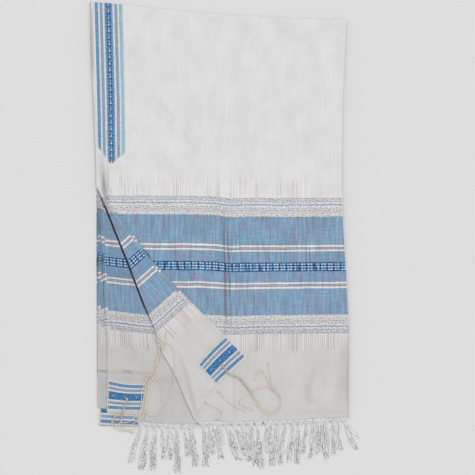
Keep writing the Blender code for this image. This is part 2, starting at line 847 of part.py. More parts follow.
def corner_tassel(name, head, threads, surfaces):
    """Corner tassel: a wound head from its eyelet, and the threads that leave its far end."""
    spine = laid(curve(head, THREAD_STEP), surfaces)
    rows = []
    for k, place in enumerate(spine):
        run = (spine[min(k + 1, len(spine) - 1)] - spine[max(k - 1, 0)]).to_2d().normalized()
        left = Vector((-run.y, run.x, 0))
        half = len(threads) / 2
        rows.append([place + left * (half - c) * THREAD_PITCH for c in range(len(threads) + 1)])
    comb = Comb(rows, THREAD)
    for c, thread in enumerate(threads):
        start = (rows[-1][c] + rows[-1][c + 1]) / 2
        ahead = start + (spine[-1] - spine[-2]).normalized() * THREAD_AHEAD
        route = curve(((start.x, start.y, 0), (ahead.x, ahead.y, 0)) + thread, THREAD_STEP)
        comb.strand(c, laid(route, surfaces)[1:], THREAD, THREAD)
    return solid(name, comb.points, comb.faces, NATURAL_THREAD)


def corner_fringe(surfaces):
    """Tassels of the turned corner's hem, which lie on the front panel."""
    strip = [Vector(p) for p in CORNER_STRIP]
    strip_mid = FRONT_MID + CLOTH / 2 + LAY_GAP + STRIP_HEIGHT / 2
    rows = []
    for depth in (STRIP_START, STRIP_END):
        row = []
        for k, place in enumerate(strip):
            run = (strip[min(k + 1, len(strip) - 1)] - strip[max(k - 1, 0)]).normalized()
            out = Vector((run.y, -run.x))
            row.append(Vector((*(place + out * depth), strip_mid)))
        rows.append(row)
    comb = Comb(rows, STRIP_HEIGHT)
    columns = dict(zip(CORNER_STRAND_PLACES, CORNER_STRANDS))
    for c in range(len(strip) - 1):
        if c not in columns:
            comb.plain(c)
            continue
        middle = ((rows[1][c] + rows[1][c + 1]) / 2).to_2d()
        near = ((rows[0][c] + rows[0][c + 1]) / 2).to_2d()
        ahead = middle + (middle - near) * CORNER_STRAND_AHEAD
        places = (middle, ahead) + columns[c]
        route = curve([Vector((*place, 0)) for place in places], CORNER_STRAND_STEP)
        comb.strand(c, laid(route, surfaces)[1:], STRAND_WIDTH, STRAND_HEIGHT)
    return solid("fringe_turned_corner", comb.points, comb.faces, WHITE_CLOTH)


def clear_scene():
    """Removes every object that the scene starts with."""
    for item in list(bpy.data.objects):
        bpy.data.objects.remove(item, do_unlink=True)


def main():
    """Builds every piece of the shawl."""
    clear_scene()
    under_layers()
    second_layer()
    front_panel()
    turned_corner()
    neckband()
    patch("patch_turned_corner", PATCH_TURNED, corner_height)
    patch("patch_second_layer", PATCH_SECOND, lambda x, y: SECOND_MID)
    patch("patch_lowest_layer", PATCH_LOWEST, lambda x, y: UNDER_LAYER - CLOTH / 2)
    surfaces = top_surfaces()
    second_hem = curve(SECOND_HEM, HEM_STEP)
    hem_fringe("fringe_front", FRINGE_FRONT, front_hem, FRONT_MID - STRIP_SINK, surfaces)
    hem_fringe(
        "fringe_second_layer",
        FRINGE_SECOND,
        lambda x: hem_height(second_hem, x) - SECOND_STRIP_DROP,
        SECOND_MID - STRIP_SINK,
        surfaces,
    )
    corner_fringe(surfaces)
    corner_tassel("tassel_turned_corner", HEAD_TURNED, THREADS_TURNED, surfaces)
    corner_tassel("tassel_second_layer", HEAD_SECOND, THREADS_SECOND, surfaces)
    corner_tassel("tassel_lowest_layer", HEAD_LOWEST, THREADS_LOWEST, surfaces)


main()
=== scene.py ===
"""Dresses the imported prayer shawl: striped silk folded in four, ribbon neckband and corner
patches, tied fringe and corner tassels. Tables are in millimetres in the shawl's own frame:
+Y towards its top fold, +X towards its lengthwise fold, +Z up, underside at Z = 0.
"""

import math
import random

import bmesh
import bpy
import numpy as np
from bpy.props import FloatProperty, FloatVectorProperty, IntProperty, PointerProperty
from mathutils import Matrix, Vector, noise
from mathutils.bvhtree import BVHTree


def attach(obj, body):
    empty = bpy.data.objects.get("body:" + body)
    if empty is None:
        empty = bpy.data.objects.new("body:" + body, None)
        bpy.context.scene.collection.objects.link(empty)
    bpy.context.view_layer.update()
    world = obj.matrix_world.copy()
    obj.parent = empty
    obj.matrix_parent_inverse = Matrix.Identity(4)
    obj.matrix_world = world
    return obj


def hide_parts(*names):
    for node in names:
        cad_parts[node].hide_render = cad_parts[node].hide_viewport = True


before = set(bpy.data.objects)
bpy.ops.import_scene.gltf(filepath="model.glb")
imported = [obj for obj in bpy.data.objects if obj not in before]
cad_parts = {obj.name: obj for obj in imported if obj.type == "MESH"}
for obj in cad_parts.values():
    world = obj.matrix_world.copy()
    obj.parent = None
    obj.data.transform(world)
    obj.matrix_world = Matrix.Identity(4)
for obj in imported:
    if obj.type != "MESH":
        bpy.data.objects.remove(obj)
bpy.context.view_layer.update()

bl_info = {
    "name": "Folded prayer shawl",
    "version": (1, 0, 0),
    "blender": (4, 5, 0),
    "location": "3D View > Sidebar > Shawl",
    "description": "Makes a striped silk prayer shawl, folded in four, with its fringe and tassels",
    "category": "Add Mesh",
}

MM = 0.001
# Picture's width in pixels, and the place that its middle shows, in pixels from the origin
PICTURE_WIDTH = 475
PICTURE_MIDDLE = (13.25, -1.0)
FLOOR_REACH = 4.0
FLOOR_DROP = 0.0002

# Heights of the four stretches' middle surfaces, and the cloth's own wall
SHELL = 0.9
HEM_SHELL = 1.3
FOURTH_MID = 1.75
THIRD_MID = 4.05
SECOND_MID = 5.5
FRONT_MID = 7.0
CORNER_MID = 8.5
# How far a free edge droops towards what is under it, and over what width
FOURTH_DROOP = 1.0
THIRD_DROOP = 1.1
TOP_DROOP = 0.25
DROOP_WIDTH = 12.0

# Folds: radius of the roll at the right of each pair of layers, and over the top
PAIR_ROLL = (FRONT_MID - SECOND_MID) / 2
LOW_PAIR_ROLL = (THIRD_MID - FOURTH_MID) / 2
OUTER_ROLL = (FRONT_MID - FOURTH_MID) / 2
INNER_ROLL = (SECOND_MID - THIRD_MID) / 2
ROLL_TURNS = 6
# Fold of the turned corner stands up a little before it lies flat
FOLD_PUFF = 0.5
FOLD_PUFF_WIDTH = 9.0
FOLD_STUB = 2.0
# Painted shade on the fold's roll, as a share of the painted shadow beside the fold
ROLL_SHADE = 0.7

# Hem: its width, and the short step down to the single cloth
HEM_WIDTH = 7.5
HEM_STEP = 0.6
GRID_STEP = 4.5
CORNER_GRID_ROWS = 110
CORNER_GRID_COLUMNS = 38
HIDDEN_GRID_COLUMNS = 124
HIDDEN_FROM = -45.0
# Coarse grid of the hidden stretches above this height and right of that place
PLAIN_ABOVE = 200
PLAIN_STEP = 30
COVERED_COLUMNS = 14
FRONT_LEFT_COLUMNS = 58
FRONT_RIGHT_COLUMNS = 56
# How far the hidden stretches end before the top fold's inside, how much painted shade dims each, and the
# painted shadow along the fourth's covered edge
FOLD_SETBACK = 3
SECOND_DIM = 0.10
THIRD_DIM = 0.13
FOURTH_DIM = 0.05
FOURTH_EDGE_SHADE = (0.3, 3.0)
CREASE_HALF_WIDTH = 13.0
CREASE_COLUMNS = 18
WRINKLE_HEIGHT = 0.22
WRINKLE_LENGTH = 46.0

# Woven border: y of its middle on the front stretch
BORDER_MIDDLE = -65.8

# Front stretch: its two side edges from the top fold to the hem. Below the apex the left
# edge is the line along which the corner is turned back.
# columns: left x, left y, crease x, right x, right y
FRONT_ROWS = (
    (-289, 513, 6, 264, 469),
    (-288, 403, 0, 261, 396),
    (-283, 292, -4, 256, 290),
    (-277.5, 153, -4, 254, 150),
    (-277, 107, -4, 255, 104),
    (-236, 13, 3, 258, 11),
    (-194, -95, 6, 265, -97),
    (-150, -203, 9, 270, -203),
    (-135, -251, 9, 270, -251),
    (-105, -304, 8, 269, -303),
    (-63, -404, 10, 269, -394),
)
APEX_Y = 107.0
TOP_BOW = 9.0
HEM_BOW = 3.0

# Turned corner: the line of the fold and the free edge, station by station from the apex
# columns: fold x, fold y, free x, free y
CORNER_ROWS = (
    (-276, 106, -272, 107),
    (-252, 54, -237, 55),
    (-236, 13, -205, 15),
    (-206, -62, -150, -59),
    (-174, -146, -98, -115),
    (-150, -203, -50, -164),
    (-135, -251, -17, -197),
    (-105, -304, 14, -229),
    (-84, -355, 36, -251),
    (-64, -399, 52, -267),
)
CORNER_HEM_BOW = 17.0
# Straight line about which the corner was turned: a place on it and its direction
TURN_PLACE = (-277.0, 107.0)
TURN_RUN = (0.3558, -0.9346)

# Left edges of the hidden stretches, from the top fold to the hem
# columns: left x, left y
SECOND_LEFT = (
    (-284, 508),
    (-276, 292),
    (-268, 107),
    (-267, 0),
    (-262, -91),
    (-259, -155),
    (-254, -230),
    (-254, -300),
    (-255, -383),
)
THIRD_LEFT = ((-286, 508), (-281, 296), (-276, 101), (-275, -8), (-275, -340), (-274, -372))
FOURTH_LEFT = ((-287, 508), (-282, 296), (-278, 101), (-277, -294), (-270, -374), (-271, -412))
# Their stripes: height above the border's middle at an x, slope, and that x turned about
SECOND_STRIPES = (54.5, 0.11, 248)
THIRD_STRIPES = (49.3, -0.35, 262)
# Their hems from left to right
# columns: x, y
SECOND_HEM = (
    (-255, -383), (-194, -386), (-186, -404), (-118, -410),
    (-65, -410), (-55, -399), (0, -395), (266, -391),
)
THIRD_HEM = ((-274, -372), (-230, -373), (-185, -374), (-162, -402), (-63, -399), (266, -389))
FOURTH_HEM = ((-271, -412), (-228, -413), (-184, -414), (-168, -402), (-63, -399), (266, -389))

# Creases that stand up from the cloth: straight ridges that fade at both ends
# columns: x from, y from, x to, y to, height, half width
FRONT_CREASES = (
    (2, 300, -11, 130, 1.0, 9),
    (-12, 150, -9, 42, 1.4, 6),
    (-9, 48, 1, 18, 1.2, 7),
    (0, 30, 8, -190, 2.2, 8),
    (8, -160, 8, -330, 1.0, 9),
    (-156, 314, -96, 246, 0.9, 7),
    (-102, 250, -48, 176, 0.8, 8),
    (-150, 282, -118, 240, 0.4, 9),
    (-132, 176, -106, 150, 0.7, 8),
    (-118, -21, -62, -92, 1.4, 22),
    (-66, -86, -8, -164, 0.9, 20),
    (28, -138, 62, -171, 0.9, 16),
    (145, 30, 172, -120, 1.5, 22),
    (196, -288, 175, -334, 1.5, 13),
    (174, -328, 190, -364, 1.5, 13),
    (120, 455, 210, 405, 0.7, 16),
    (60, -260, 130, -345, 0.9, 20),
    (205, -215, 225, -330, 0.8, 18),
    (90, -290, 60, -380, 0.7, 16),
)
CORNER_CREASES = (
    (-104, -240, -80, -300, 1.9, 11),
    (-82, -292, -57, -394, 2.6, 10),
    (-150, -150, -100, -215, 0.9, 20),
    (-60, -215, -15, -265, 0.7, 16),
    (-40, -300, -28, -345, 0.8, 10),
)
SECOND_CREASES = (
    (-262, -294, -150, -292, 0.9, 6),
    (-225, 60, -212, -120, 0.5, 14),
    (-235, -150, -190, -260, 0.5, 16),
)
NO_CREASES = ()
# Painted shade: thin painted shadows along pressed tucks and edges, and broader painted shade where the cloth
# lies in shadow
# columns: x from, y from, x to, y to, darkness, half width
FRONT_PAINTED_SHADES = (
    (-270, 182, -256, 54, 0.26, 14),
    (-264, 138, -254, 62, 0.22, 10),
    (-263, 160, -260, 80, 0.20, 4),
    (-254, 164, -252, 78, 0.26, 4),
    (-246, 150, -246, 80, 0.12, 3),
    (-2, 70, 4, -210, 0.50, 3.4),
    (6, 60, 15, -210, 0.42, 3.4),
    (262, -196, 262, -400, 0.10, 26),
    (196, -284, 180, -338, 0.10, 13),
    (180, -318, 190, -368, 0.10, 13),
    (268, -196, 268, -398, 0.25, 3),
    (-288, 500, -286, 330, 0.45, 2.4),
    (-286, 330, -281, 196, 0.34, 3),
    (120, -385, 262, -380, 0.05, 16),
    (21, -225, 21, -400, 0.10, 4),
    (24, -260, 60, -392, 0.04, 20),
)
CORNER_PAINTED_SHADES = (
    (-274, 100, -244, 42, 0.32, 16),
    (-100, -244, -80, -300, 0.09, 6),
    (-82, -294, -58, -392, 0.13, 6),
    (-112, -310, -72, -392, 0.08, 5),
)
SECOND_PAINTED_SHADES = (
    (-262, -306, -90, -312, 0.07, 15),
    (-262, -292, -158, -297, 0.22, 4),
    (-225, -288, -196, -296, 0.24, 4),
)
THIRD_PAINTED_SHADES = (
    (-284, -293, -250, -293, 0.3, 4),
    (-264, -285, -264, -384, 0.07, 16),
    (-276, 96, -276, -70, 0.4, 3),
)
# Painted shadow on the cloth right beside the turned fold, from the hem to the apex
# columns: y, darkness, width
FOLD_SHADES = (
    (-420, 0.0, 2.0),
    (-211, 0.08, 3.0),
    (-195, 0.3, 3.5),
    (-177, 0.35, 4.0),
    (-165, 0.65, 4.6),
    (-150, 0.92, 5.2),
    (70, 1.0, 5.6),
    (110, 0.95, 4.5),
)
# Painted shadow on the third stretch beside the second's left edge; columns: y, darkness, width
SECOND_EDGE_SHADES = (
    (-420, 0.12, 2.2),
    (-200, 0.25, 2.4),
    (-130, 0.35, 3.0),
    (-60, 0.12, 3.2),
    (120, 0.08, 3.6),
)
THIRD_HEM_JOG = 8.7
# Turned corner: painted mauve shade along its fold, full over the first width and fading over the second
PAINTED_FOLD_SHADE_FULL = 4.0
PAINTED_FOLD_SHADE_WIDTH = 7.0

# How far the woven stripes lie below their straight place on the front stretch
# columns: x, at the border's top, at its foot
STRIPE_DROPS = (
    (-290, -5.6, -0.9),
    (-60, -5.0, -0.9),
    (-14, -3.0, 0.4),
    (12, 0.6, 3.0),
    (60, 0.0, 1.6),
    (160, 0.0, 0.0),
    (270, -0.6, -0.6),
)
# How much higher the stripes lie beyond the cream pairs, and where that begins and ends
STRIPE_RISE = 2.4
RISE_FROM = 45.0
RISE_TO = 105.0
BORDER_TOP = 50.0
BORDER_FOOT = -170.0
# Turned corner: how far its stripes lie from the mirrored ones
# columns: mirrored distance above the border's middle, added distance
CORNER_SHIFTS = ((-290, 4.0), (-105, 5.6), (-60, 5.0), (-37, 4.7), (0, 2.9), (40, 3.9), (52, 3.3))
HEM_JOG = 6.0

# Neckband: its outline on the front stretch, from the top fold to its point
# columns: left x, left y, right x, right y
NECKBAND_ROWS = (
    (-283.5, 508.5, -220, 503.5),
    (-283, 403, -219, 400),
    (-279.5, 296, -217, 294),
    (-277, 240, -216, 240),
    (-274.5, 196, -214.5, 190),
    (-266, 185, -216.5, 180),
    (-257, 173, -229, 171.5),
    (-249, 160, -243, 158.8),
)
# Woven part of the neckband: its left and right edge
# columns: y, left x, right x
NECKBAND_BLUE = ((158, -272.5, -214.8), (196, -273.6, -215.0), (296, -275.6, -215.4), (508, -281.2, -221.1))
RIBBON_WIDTH = 60.0
RIBBON_SHELL = 0.7
RIBBON_LIFT = 0.35

# Patches: node, cloth, four corners (first stripe's start and end, last stripe's end and start),
# first and last place across the ribbon, and how far its stripes sag on the way
PATCHES = (
    (
        "patch_turned_corner",
        "front_cloth",
        ((-52, -276), (1.5, -221), (42.5, -261.5), (-16, -315)),
        (0, 60),
        -1.6,
    ),
    (
        "patch_second_layer",
        "second_cloth",
        ((-249, -314.5), (-174, -322.5), (-182, -376), (-250.5, -374)),
        (0, 60),
        3.2,
    ),
    (
        "patch_lowest_layer",
        "lowest_cloth",
        ((-266, -374.5), (-188, -378.5), (-189.5, -409), (-267, -405)),
        (30, 60),
        0.6,
    ),
)
PATCH_MARGIN = 4.0

# Stitches: pitch as a share of their length, thicknesses, and how far in the seams lie
STITCH_PITCH = 1.3
HEM_STITCH_THICKNESS = 0.5
RIBBON_STITCH_THICKNESS = 0.7
HEM_STITCH_INSET = 1.6
NECKBAND_STITCH_INSET = 1.6
PATCH_SEAM_REACH = 1.07
PATCH_ZIGZAG = 1.2

# Fringe: each tassel is knotted below the hem and hangs as a few twisted strands
STRAND_PITCH = 3.8
STRAND_SPREAD = 1.2
STRAND_STAGGER = 2.0
STRAND_RADIUS = 1.3
CORNER_CORD_RADIUS = 1.0
KNOT_DEPTH = 8.5
# Half height of a knot of size one
KNOT_RISE = 1.3
KNOT_FLATNESS = 0.75
# Threads that gather from the hem into each knot
FAN_THREADS = 12
FAN_REACH = 8.6
FAN_RADIUS = 1.0
# Single threads that leave a knot, and the tuft below each end knot
LOOSE_THREADS = 6
LOOSE_RADIUS = 0.5
TUFT_THREADS = 3
TUFT_LENGTH = 6.5
# Height range over which the yarn's painted shadow spots grow towards the tips
TIPS_FROM = -425.0
TIPS_TO = -480.0
# columns: root x, tip x, tip y, sideways sway half way down, strands
FRINGE_FRONT = (
    (-46, -40, -500, 3, 3),
    (-31, -25, -474, 2, 2),
    (-21, -20, -452, 1, 1),
    (-11, -7, -483, -2, 3),
    (6, 31, -487, -3, 3),
    (23, 52, -488, -2, 2),
    (39, 68, -497, -2, 3),
    (55, 65, -458, -1, 2),
    (74, 81, -504, 1, 3),
    (94, 94, -472, 1, 2),
    (105, 101, -450, 0, 1),
    (119, 104, -498, -2, 3),
    (135, 122, -497, -1, 2),
    (150, 142, -490, 2, 2),
    (164, 158, -494, -2, 3),
    (180, 172, -472, 2, 2),
    (193, 188, -483, 2, 2),
    (205, 204, -472, -2, 2),
    (212.5, 212, -460, 0, 1),
    (221, 222, -483, -2, 3),
    (237, 238, -474, 1, 2),
    (250, 254, -466, -1, 2),
    (263, 286, -464, -6, 2),
)
FRINGE_SECOND = (
    (-179, -204, -491, -1, 2),
    (-166, -180, -507, 2, 3),
    (-150, -156, -509, -2, 3),
    (-134, -132, -486, 2, 2),
    (-119, -116, -485, -2, 2),
    (-103, -101, -513.5, 2, 3),
    (-87, -79, -478, 2, 2),
    (-73, -64, -500, 3, 3),
)
# Turned corner's hem: where its two tassels start and the places that they pass
# columns: x, y
CORNER_TASSELS = (
    ((-42, -359), (-37, -363), (-33, -366), (-20, -371), (-9, -377), (-5, -386), (-9, -394), (-17, -398)),
    ((-16, -335), (-11, -339), (-7, -343), (4, -355), (22, -369), (44, -379)),
)

# Corner tassels: a wound head and its free threads
THREAD_RADIUS = 1.0
CORE_RADIUS = 1.15
WINDING_RADIUS = 0.5
WINDING_PITCH = 1.1
HEAD_KNOT_SIZE = 2.5
HEAD_KNOTS = 4
HEAD_KNOT_LENGTH = 0.8
LAY_GAP = 0.15
FLOOR_GAP = 0.3
# columns: x, y, lift above what it lies on
HEAD_TURNED = ((-5, -277, 0), (10, -297, 0), (29, -305, 0), (42, -317, 0), (55, -333, 0), (61, -342, 0))
THREADS_TURNED = (
    ((59, -339, 0), (66, -332, 0), (79, -328, 0), (91, -326, 0), (103, -327, 2.6), (112, -333, 2.6)),
    (
        (61, -342, 0.6), (66, -348, 0.6), (77, -366, 0), (88, -378, 0), (99, -382, 0), (110, -378, 0),
        (118, -368, 0), (120, -356, 0), (114, -343, 0), (101, -331, 0), (95, -312, 0), (82, -293, 0),
        (70, -297, 0), (67, -311, 0),
    ),
    (
        (60, -343, 0), (63, -352, 0), (73, -370, 0), (85, -382, 0), (99, -386.5, 0), (113, -382, 0),
        (122, -370, 0), (124.5, -355, 0), (118, -340, 0), (105, -327, 0), (101, -309, 0), (97, -290, 0),
        (96, -273, 0),
    ),
    ((58, -341, 0), (49, -345, 0), (38, -352, 0), (33, -362, 0), (45, -370, 0), (63, -377, 0)),
)
HEAD_SECOND = ((-211, -351, 0), (-215, -366, 0), (-219, -380, 0), (-223, -394, 0), (-224, -400, 0))
THREADS_SECOND = (
    (
        (-224, -400, 0.5), (-221, -404, 0), (-216, -405, 0), (-208, -403, 0), (-200, -397, 0),
        (-190, -388, 3), (-180, -381, 3.4), (-167, -383, 3.4), (-156, -389, 1), (-142, -386, 0),
        (-129, -368, 0), (-117, -339, 0), (-109, -305, 0.6), (-107, -291, 1.0), (-105, -280, 1.2),
        (-108, -264, 0.8), (-110, -249, 0.6), (-116, -238, 0), (-125, -229, 0), (-127, -214, 0),
    ),
    (
        (-224, -400, 0), (-223, -406, 0), (-218, -411, 0), (-209, -411, 0), (-197, -406, 1),
        (-185, -394, 0), (-177, -362, 0), (-169, -322, 0), (-156, -295, 0), (-146, -264, 0),
        (-142, -238, 0), (-145, -218, 0),
    ),
    (
        (-224, -400, 0), (-228, -408, 0), (-225, -415, 0), (-214, -420, 0), (-200, -419, 1),
        (-189, -411, 3), (-178, -399, 1.5), (-170, -362, 0), (-162, -322, 0), (-149, -297, 0),
        (-139, -268, 0), (-133, -246, 0), (-127, -229, 0), (-126, -206, 0),
    ),
    (
        (-188, -404, 2.4), (-184, -388, 2.4), (-180, -362, 2.6), (-178, -336, 2.6), (-170, -314, 2.6),
        (-163, -299, 2.4), (-154, -287, 2.4), (-146, -269, 2.4), (-141, -250, 0), (-140, -238, 0),
        (-146, -222, 0), (-145, -210, 0),
    ),
    (
        (-172, -397, 0.4), (-170, -385, 0.4), (-172, -362, 0), (-171, -341, 0), (-166, -322, 0),
        (-156, -308, 2.2), (-149, -296, 2.4), (-146, -280, 2.4), (-149, -266, 2.4),
    ),
    (
        (-165, -330, 0), (-164, -318, 2.2), (-171, -311, 2.4), (-168, -300, 2.6), (-158, -303, 2.6),
        (-153, -312, 2.2), (-146, -309, 0), (-138, -322, 0), (-133, -337, 0), (-135, -355, 0),
    ),
)
HEAD_LOWEST = ((-229, -388, 0), (-238, -391, 0), (-243, -397, 0))
THREADS_LOWEST = (
    (
        (-243, -396, 0), (-244, -408, 0), (-236, -418, 0), (-222, -424, 0), (-209, -424, 0),
        (-196, -427, 0),
    ),
    ((-243, -397, 1), (-239, -408, 1), (-229, -413, 1), (-213, -421, 1), (-203, -427, 0)),
)

# Colours as they look in the light of the scene, 0 to 255
WHITE = (221, 220, 220)
SHADED_WHITE = (204, 202, 200)
CREAM = (219, 212, 204)
LINE_CREAM = (230, 219, 207)
PALE_CREAM = (214, 210, 206)
SILVER_LINE = (176, 178, 186)
LAVENDER = (158, 168, 186)
SLATE = (128, 142, 168)
BLUE = (127, 158, 184)
MID_BLUE = (122, 153, 182)
FINE_BLUE = (122, 152, 184)
NAVY = (14, 44, 98)
BRIGHT_BLUE = (28, 114, 174)
SILVER_DOT = (226, 224, 228)
DULL_DOT = (206, 214, 222)
FIGURE_GROUND = (104, 160, 194)
RIB_SHADE = (176, 169, 163)
RIBBON_BLUE = (92, 142, 184)
RIBBON_LIGHT = (144, 184, 206)
RIBBON_DEEP = (98, 154, 194)
RIBBON_MAUVE = (128, 154, 184)
PATCH_BLUE = (84, 136, 178)
PATCH_GROUND = (62, 128, 178)
THREAD_WHITE = (243, 243, 242)
NATURAL = (228, 217, 200)
CORNER_YARN = (218, 213, 208)
# Painted shadow among the fringe's threads and at their tips
PAINTED_THREAD_SHADOW = (74, 78, 84)
BACKDROP = (221, 221, 221)
# columns: yarn, colour, unevenness, share of painted shadow spots at its root and at its tips
YARNS = (
    ("fringe_yarn", THREAD_WHITE, 0.08, 0.28, 1.0),
    ("stitch_yarn", THREAD_WHITE, 0.08, 0.3, 0.3),
    ("tassel_yarn", NATURAL, 0.10, 0.08, 0.08),
    ("corner_yarn", CORNER_YARN, 0.10, 0.08, 0.08),
)
# Share of a white surface's light that reaches the picture
LIGHT = 0.9

# Mauve of the weft, also used as painted shade; cyan of the painted glints
MAUVE_WEFT_AND_SHADE = (138, 142, 168)
PAINTED_CYAN_GLINT = (124, 172, 196)
SILVER_SHADE = (140, 143, 158)
# Letters of the woven charts
INKS = {"#": NAVY, "b": BRIGHT_BLUE, "o": SILVER_DOT}
CLOTH_INKS = {"#": NAVY, "b": BRIGHT_BLUE, "o": DULL_DOT}

# Stripes of the cloth, counted from the border's middle towards both ends
# columns: from, colour
STRIPES = (
    (0.0, MID_BLUE),
    (33.0, LINE_CREAM),
    (36.8, SLATE),
    (38.4, LAVENDER),
    (41.0, SLATE),
    (42.6, LINE_CREAM),
    (46.4, BLUE),
    (106.2, CREAM),
    (110.4, WHITE),
    (113.4, SILVER_LINE),
    (114.8, PALE_CREAM),
    (118.4, LAVENDER),
    (119.8, PALE_CREAM),
    (123.4, SILVER_LINE),
    (124.8, WHITE),
    (130.4, FINE_BLUE),
    (132.6, WHITE),
    (137.6, LAVENDER),
    (139.2, WHITE),
    (141.0, SILVER_LINE),
    (142.8, WHITE),
    (144.6, LAVENDER),
    (146.2, WHITE),
)
STRIPE_REACH = 150.0
BLUE_END = 106.2
# Pair of cream lines: its middle and half its width
PAIR_MIDDLE = 39.8
PAIR_HALF = 7.0
METAL_END = 147.0
FIGURED_HALF = 10.0
FIGURED_REPEAT = 14.7
# Figured stripe of the cloth, charted thread by thread: # navy, b blue, o silver, . ground
CLOTH_CHART = (
    "#b#b##b",
    "#oo.oob",
    "##b#bb#",
    "#oo.oo.",
    "#b##b##",
    "#oo.oob",
    "b#b##b#",
)
# Stripes of the ribbon, as shares of its width
# columns: from, colour
RIBBON_STRIPES = (
    (0.0, RIBBON_BLUE),
    (0.115, CREAM),
    (0.175, RIBBON_MAUVE),
    (0.28, CREAM),
    (0.343, RIBBON_DEEP),
    (0.638, CREAM),
    (0.70, RIBBON_MAUVE),
    (0.81, CREAM),
    (0.872, RIBBON_LIGHT),
)
RIBBON_FIGURE = (0.343, 0.638)
PATCH_STRIPES = ((0.0, PATCH_BLUE), *RIBBON_STRIPES[1:-1], (0.872, PATCH_BLUE))
PATCH_CHART = (
    "bbb.bbb.bbbb.b",
    "b#b#b#bb#b#b#b",
    "bb.bb.bb.bb.bb",
    "#b#bob#b#bb#bb",
    "b.bb.bbb.bb.bb",
    "b#b#b#b#bb#b#b",
    "bbb.bbbb.bbb.b",
)
RIBBON_CHART = (
    "........",
    "bb.bbb.b",
    "##b###b#",
    "#oo#b.#o",
    "##b###b#",
    "bb.bbb.b",
    "........",
)
# Weaves of the ribbon: stripes, chart, its repeat, its ground and the sewn margin
NECKBAND_WEAVE = (RIBBON_STRIPES, RIBBON_CHART, 14.3, RIBBON_DEEP, WHITE)
PATCH_WEAVE = (PATCH_STRIPES, PATCH_CHART, 27.0, PATCH_GROUND, SHADED_WHITE)
# Lines of drawn threads beside the border: pitch, start, lengths above it and below it
RIB_PITCH = 4.4
RIB_START = 147.0
UPPER_RIBS = (18.0, 52.0)
LOWER_RIBS = (34.0, 41.0)


def linear(colour):
    """Turns a colour from 0 to 255 into the linear colour of a surface in this light."""
    made = []
    for part in colour:
        share = part / 255
        low = share / 12.92
        high = ((share + 0.055) / 1.055) ** 2.4
        made.append(min((low if share <= 0.04045 else high) / LIGHT, 0.95))
    return (*made, 1.0)


def smooth(share):
    """Eases a share between 0 and 1."""
    share = min(max(share, 0.0), 1.0)
    return share * share * (3 - 2 * share)


def along(table, t):
    """Reads a table of stations at a share t of its length in rows, from 0 to 1."""
    place = min(max(t, 0.0), 1.0) * (len(table) - 1)
    low = min(int(place), len(table) - 2)
    share = place - low
    return [a + (b - a) * share for a, b in zip(table[low], table[low + 1])]


def at_height(table, y, column):
    """Gives the share of a table's length at which its descending y column passes y."""
    for k in range(len(table) - 1):
        high, low = table[k][column], table[k + 1][column]
        if y >= low:
            return (k + (high - y) / (high - low)) / (len(table) - 1)
    return 1.0


def read_at(table, key):
    """Reads the other columns of a table at a value of its rising first column."""
    for low, high in zip(table, table[1:]):
        if key <= high[0]:
            share = min(max((key - low[0]) / (high[0] - low[0]), 0.0), 1.0)
            return [a + (b - a) * share for a, b in zip(low[1:], high[1:])]
    return list(table[-1][1:])


def curve(points, step):
    """Runs a smooth curve through the points and gives places about one step apart."""
    line = [Vector(p) for p in points]
    line = [line[0] * 2 - line[1]] + line + [line[-1] * 2 - line[-2]]
    made = []
    for before, start, end, after in zip(line, line[1:], line[2:], line[3:]):
        count = max(1, round((end - start).length / step))
        for k in range(count):
            t = k / count
            linear_part = 2 * start + (end - before) * t
            square = (2 * before - 5 * start + 4 * end - after) * t**2
            cube = (3 * start - before - 3 * end + after) * t**3
            made.append(0.5 * (linear_part + square + cube))
    return made + [line[-2]]


def ridge(creases, x, y):
    """Gives what a table adds at one place: the height of creases, or the darkness of painted shade lines."""
    height = 0.0
    for x0, y0, x1, y1, top, half_width in creases:
        run_x, run_y = x1 - x0, y1 - y0
        length = math.hypot(run_x, run_y)
        share = ((x - x0) * run_x + (y - y0) * run_y) / length**2
        across = abs((x - x0) * run_y - (y - y0) * run_x) / length
        if 0.0 < share < 1.0 and across < half_width:
            fade = math.sqrt(math.sin(math.pi * share))
            height += top * fade * math.cos(math.pi / 2 * across / half_width) ** 2
    return height


def wrinkle(x, y, seed):
    """Gives the cloth's own slight unevenness at one place."""
    place = Vector((x, y, 0)) / WRINKLE_LENGTH + Vector((0, 0, seed))
    return WRINKLE_HEIGHT * (noise.noise(place) + 0.5 * noise.noise(place * 2.3))


def steps(low, high, size):
    """Gives evenly spaced values from low to high, about one size apart."""
    count = max(1, round(abs(high - low) / size))
    return [low + (high - low) * k / count for k in range(count + 1)]


def from_edge(length, count):
    """Gives distances in from a free edge: the places of its hem, then count even steps."""
    scale = min(1.0, length / 3 / HEM_WIDTH)
    hem = [0.0, HEM_STEP * scale, (HEM_WIDTH - HEM_STEP) * scale, HEM_WIDTH * scale]
    return hem + [hem[-1] + (length - hem[-1]) * k / count for k in range(1, count + 1)]


class Stretch:
    """One stretch of cloth, kept as a grid of places with what its finish needs at each."""

    def __init__(self):
        self.rows = []

    def add_row(self, row):
        """Adds a row of places: x, y, z, distance in from the selvedge, distance above the border's middle,
        crease mark, painted shade (on a ribbon, its margin mark) and thickness."""
        self.rows.append(row)

    def grid(self):
        """Gives the grid as one array."""
        return np.array(self.rows, float)


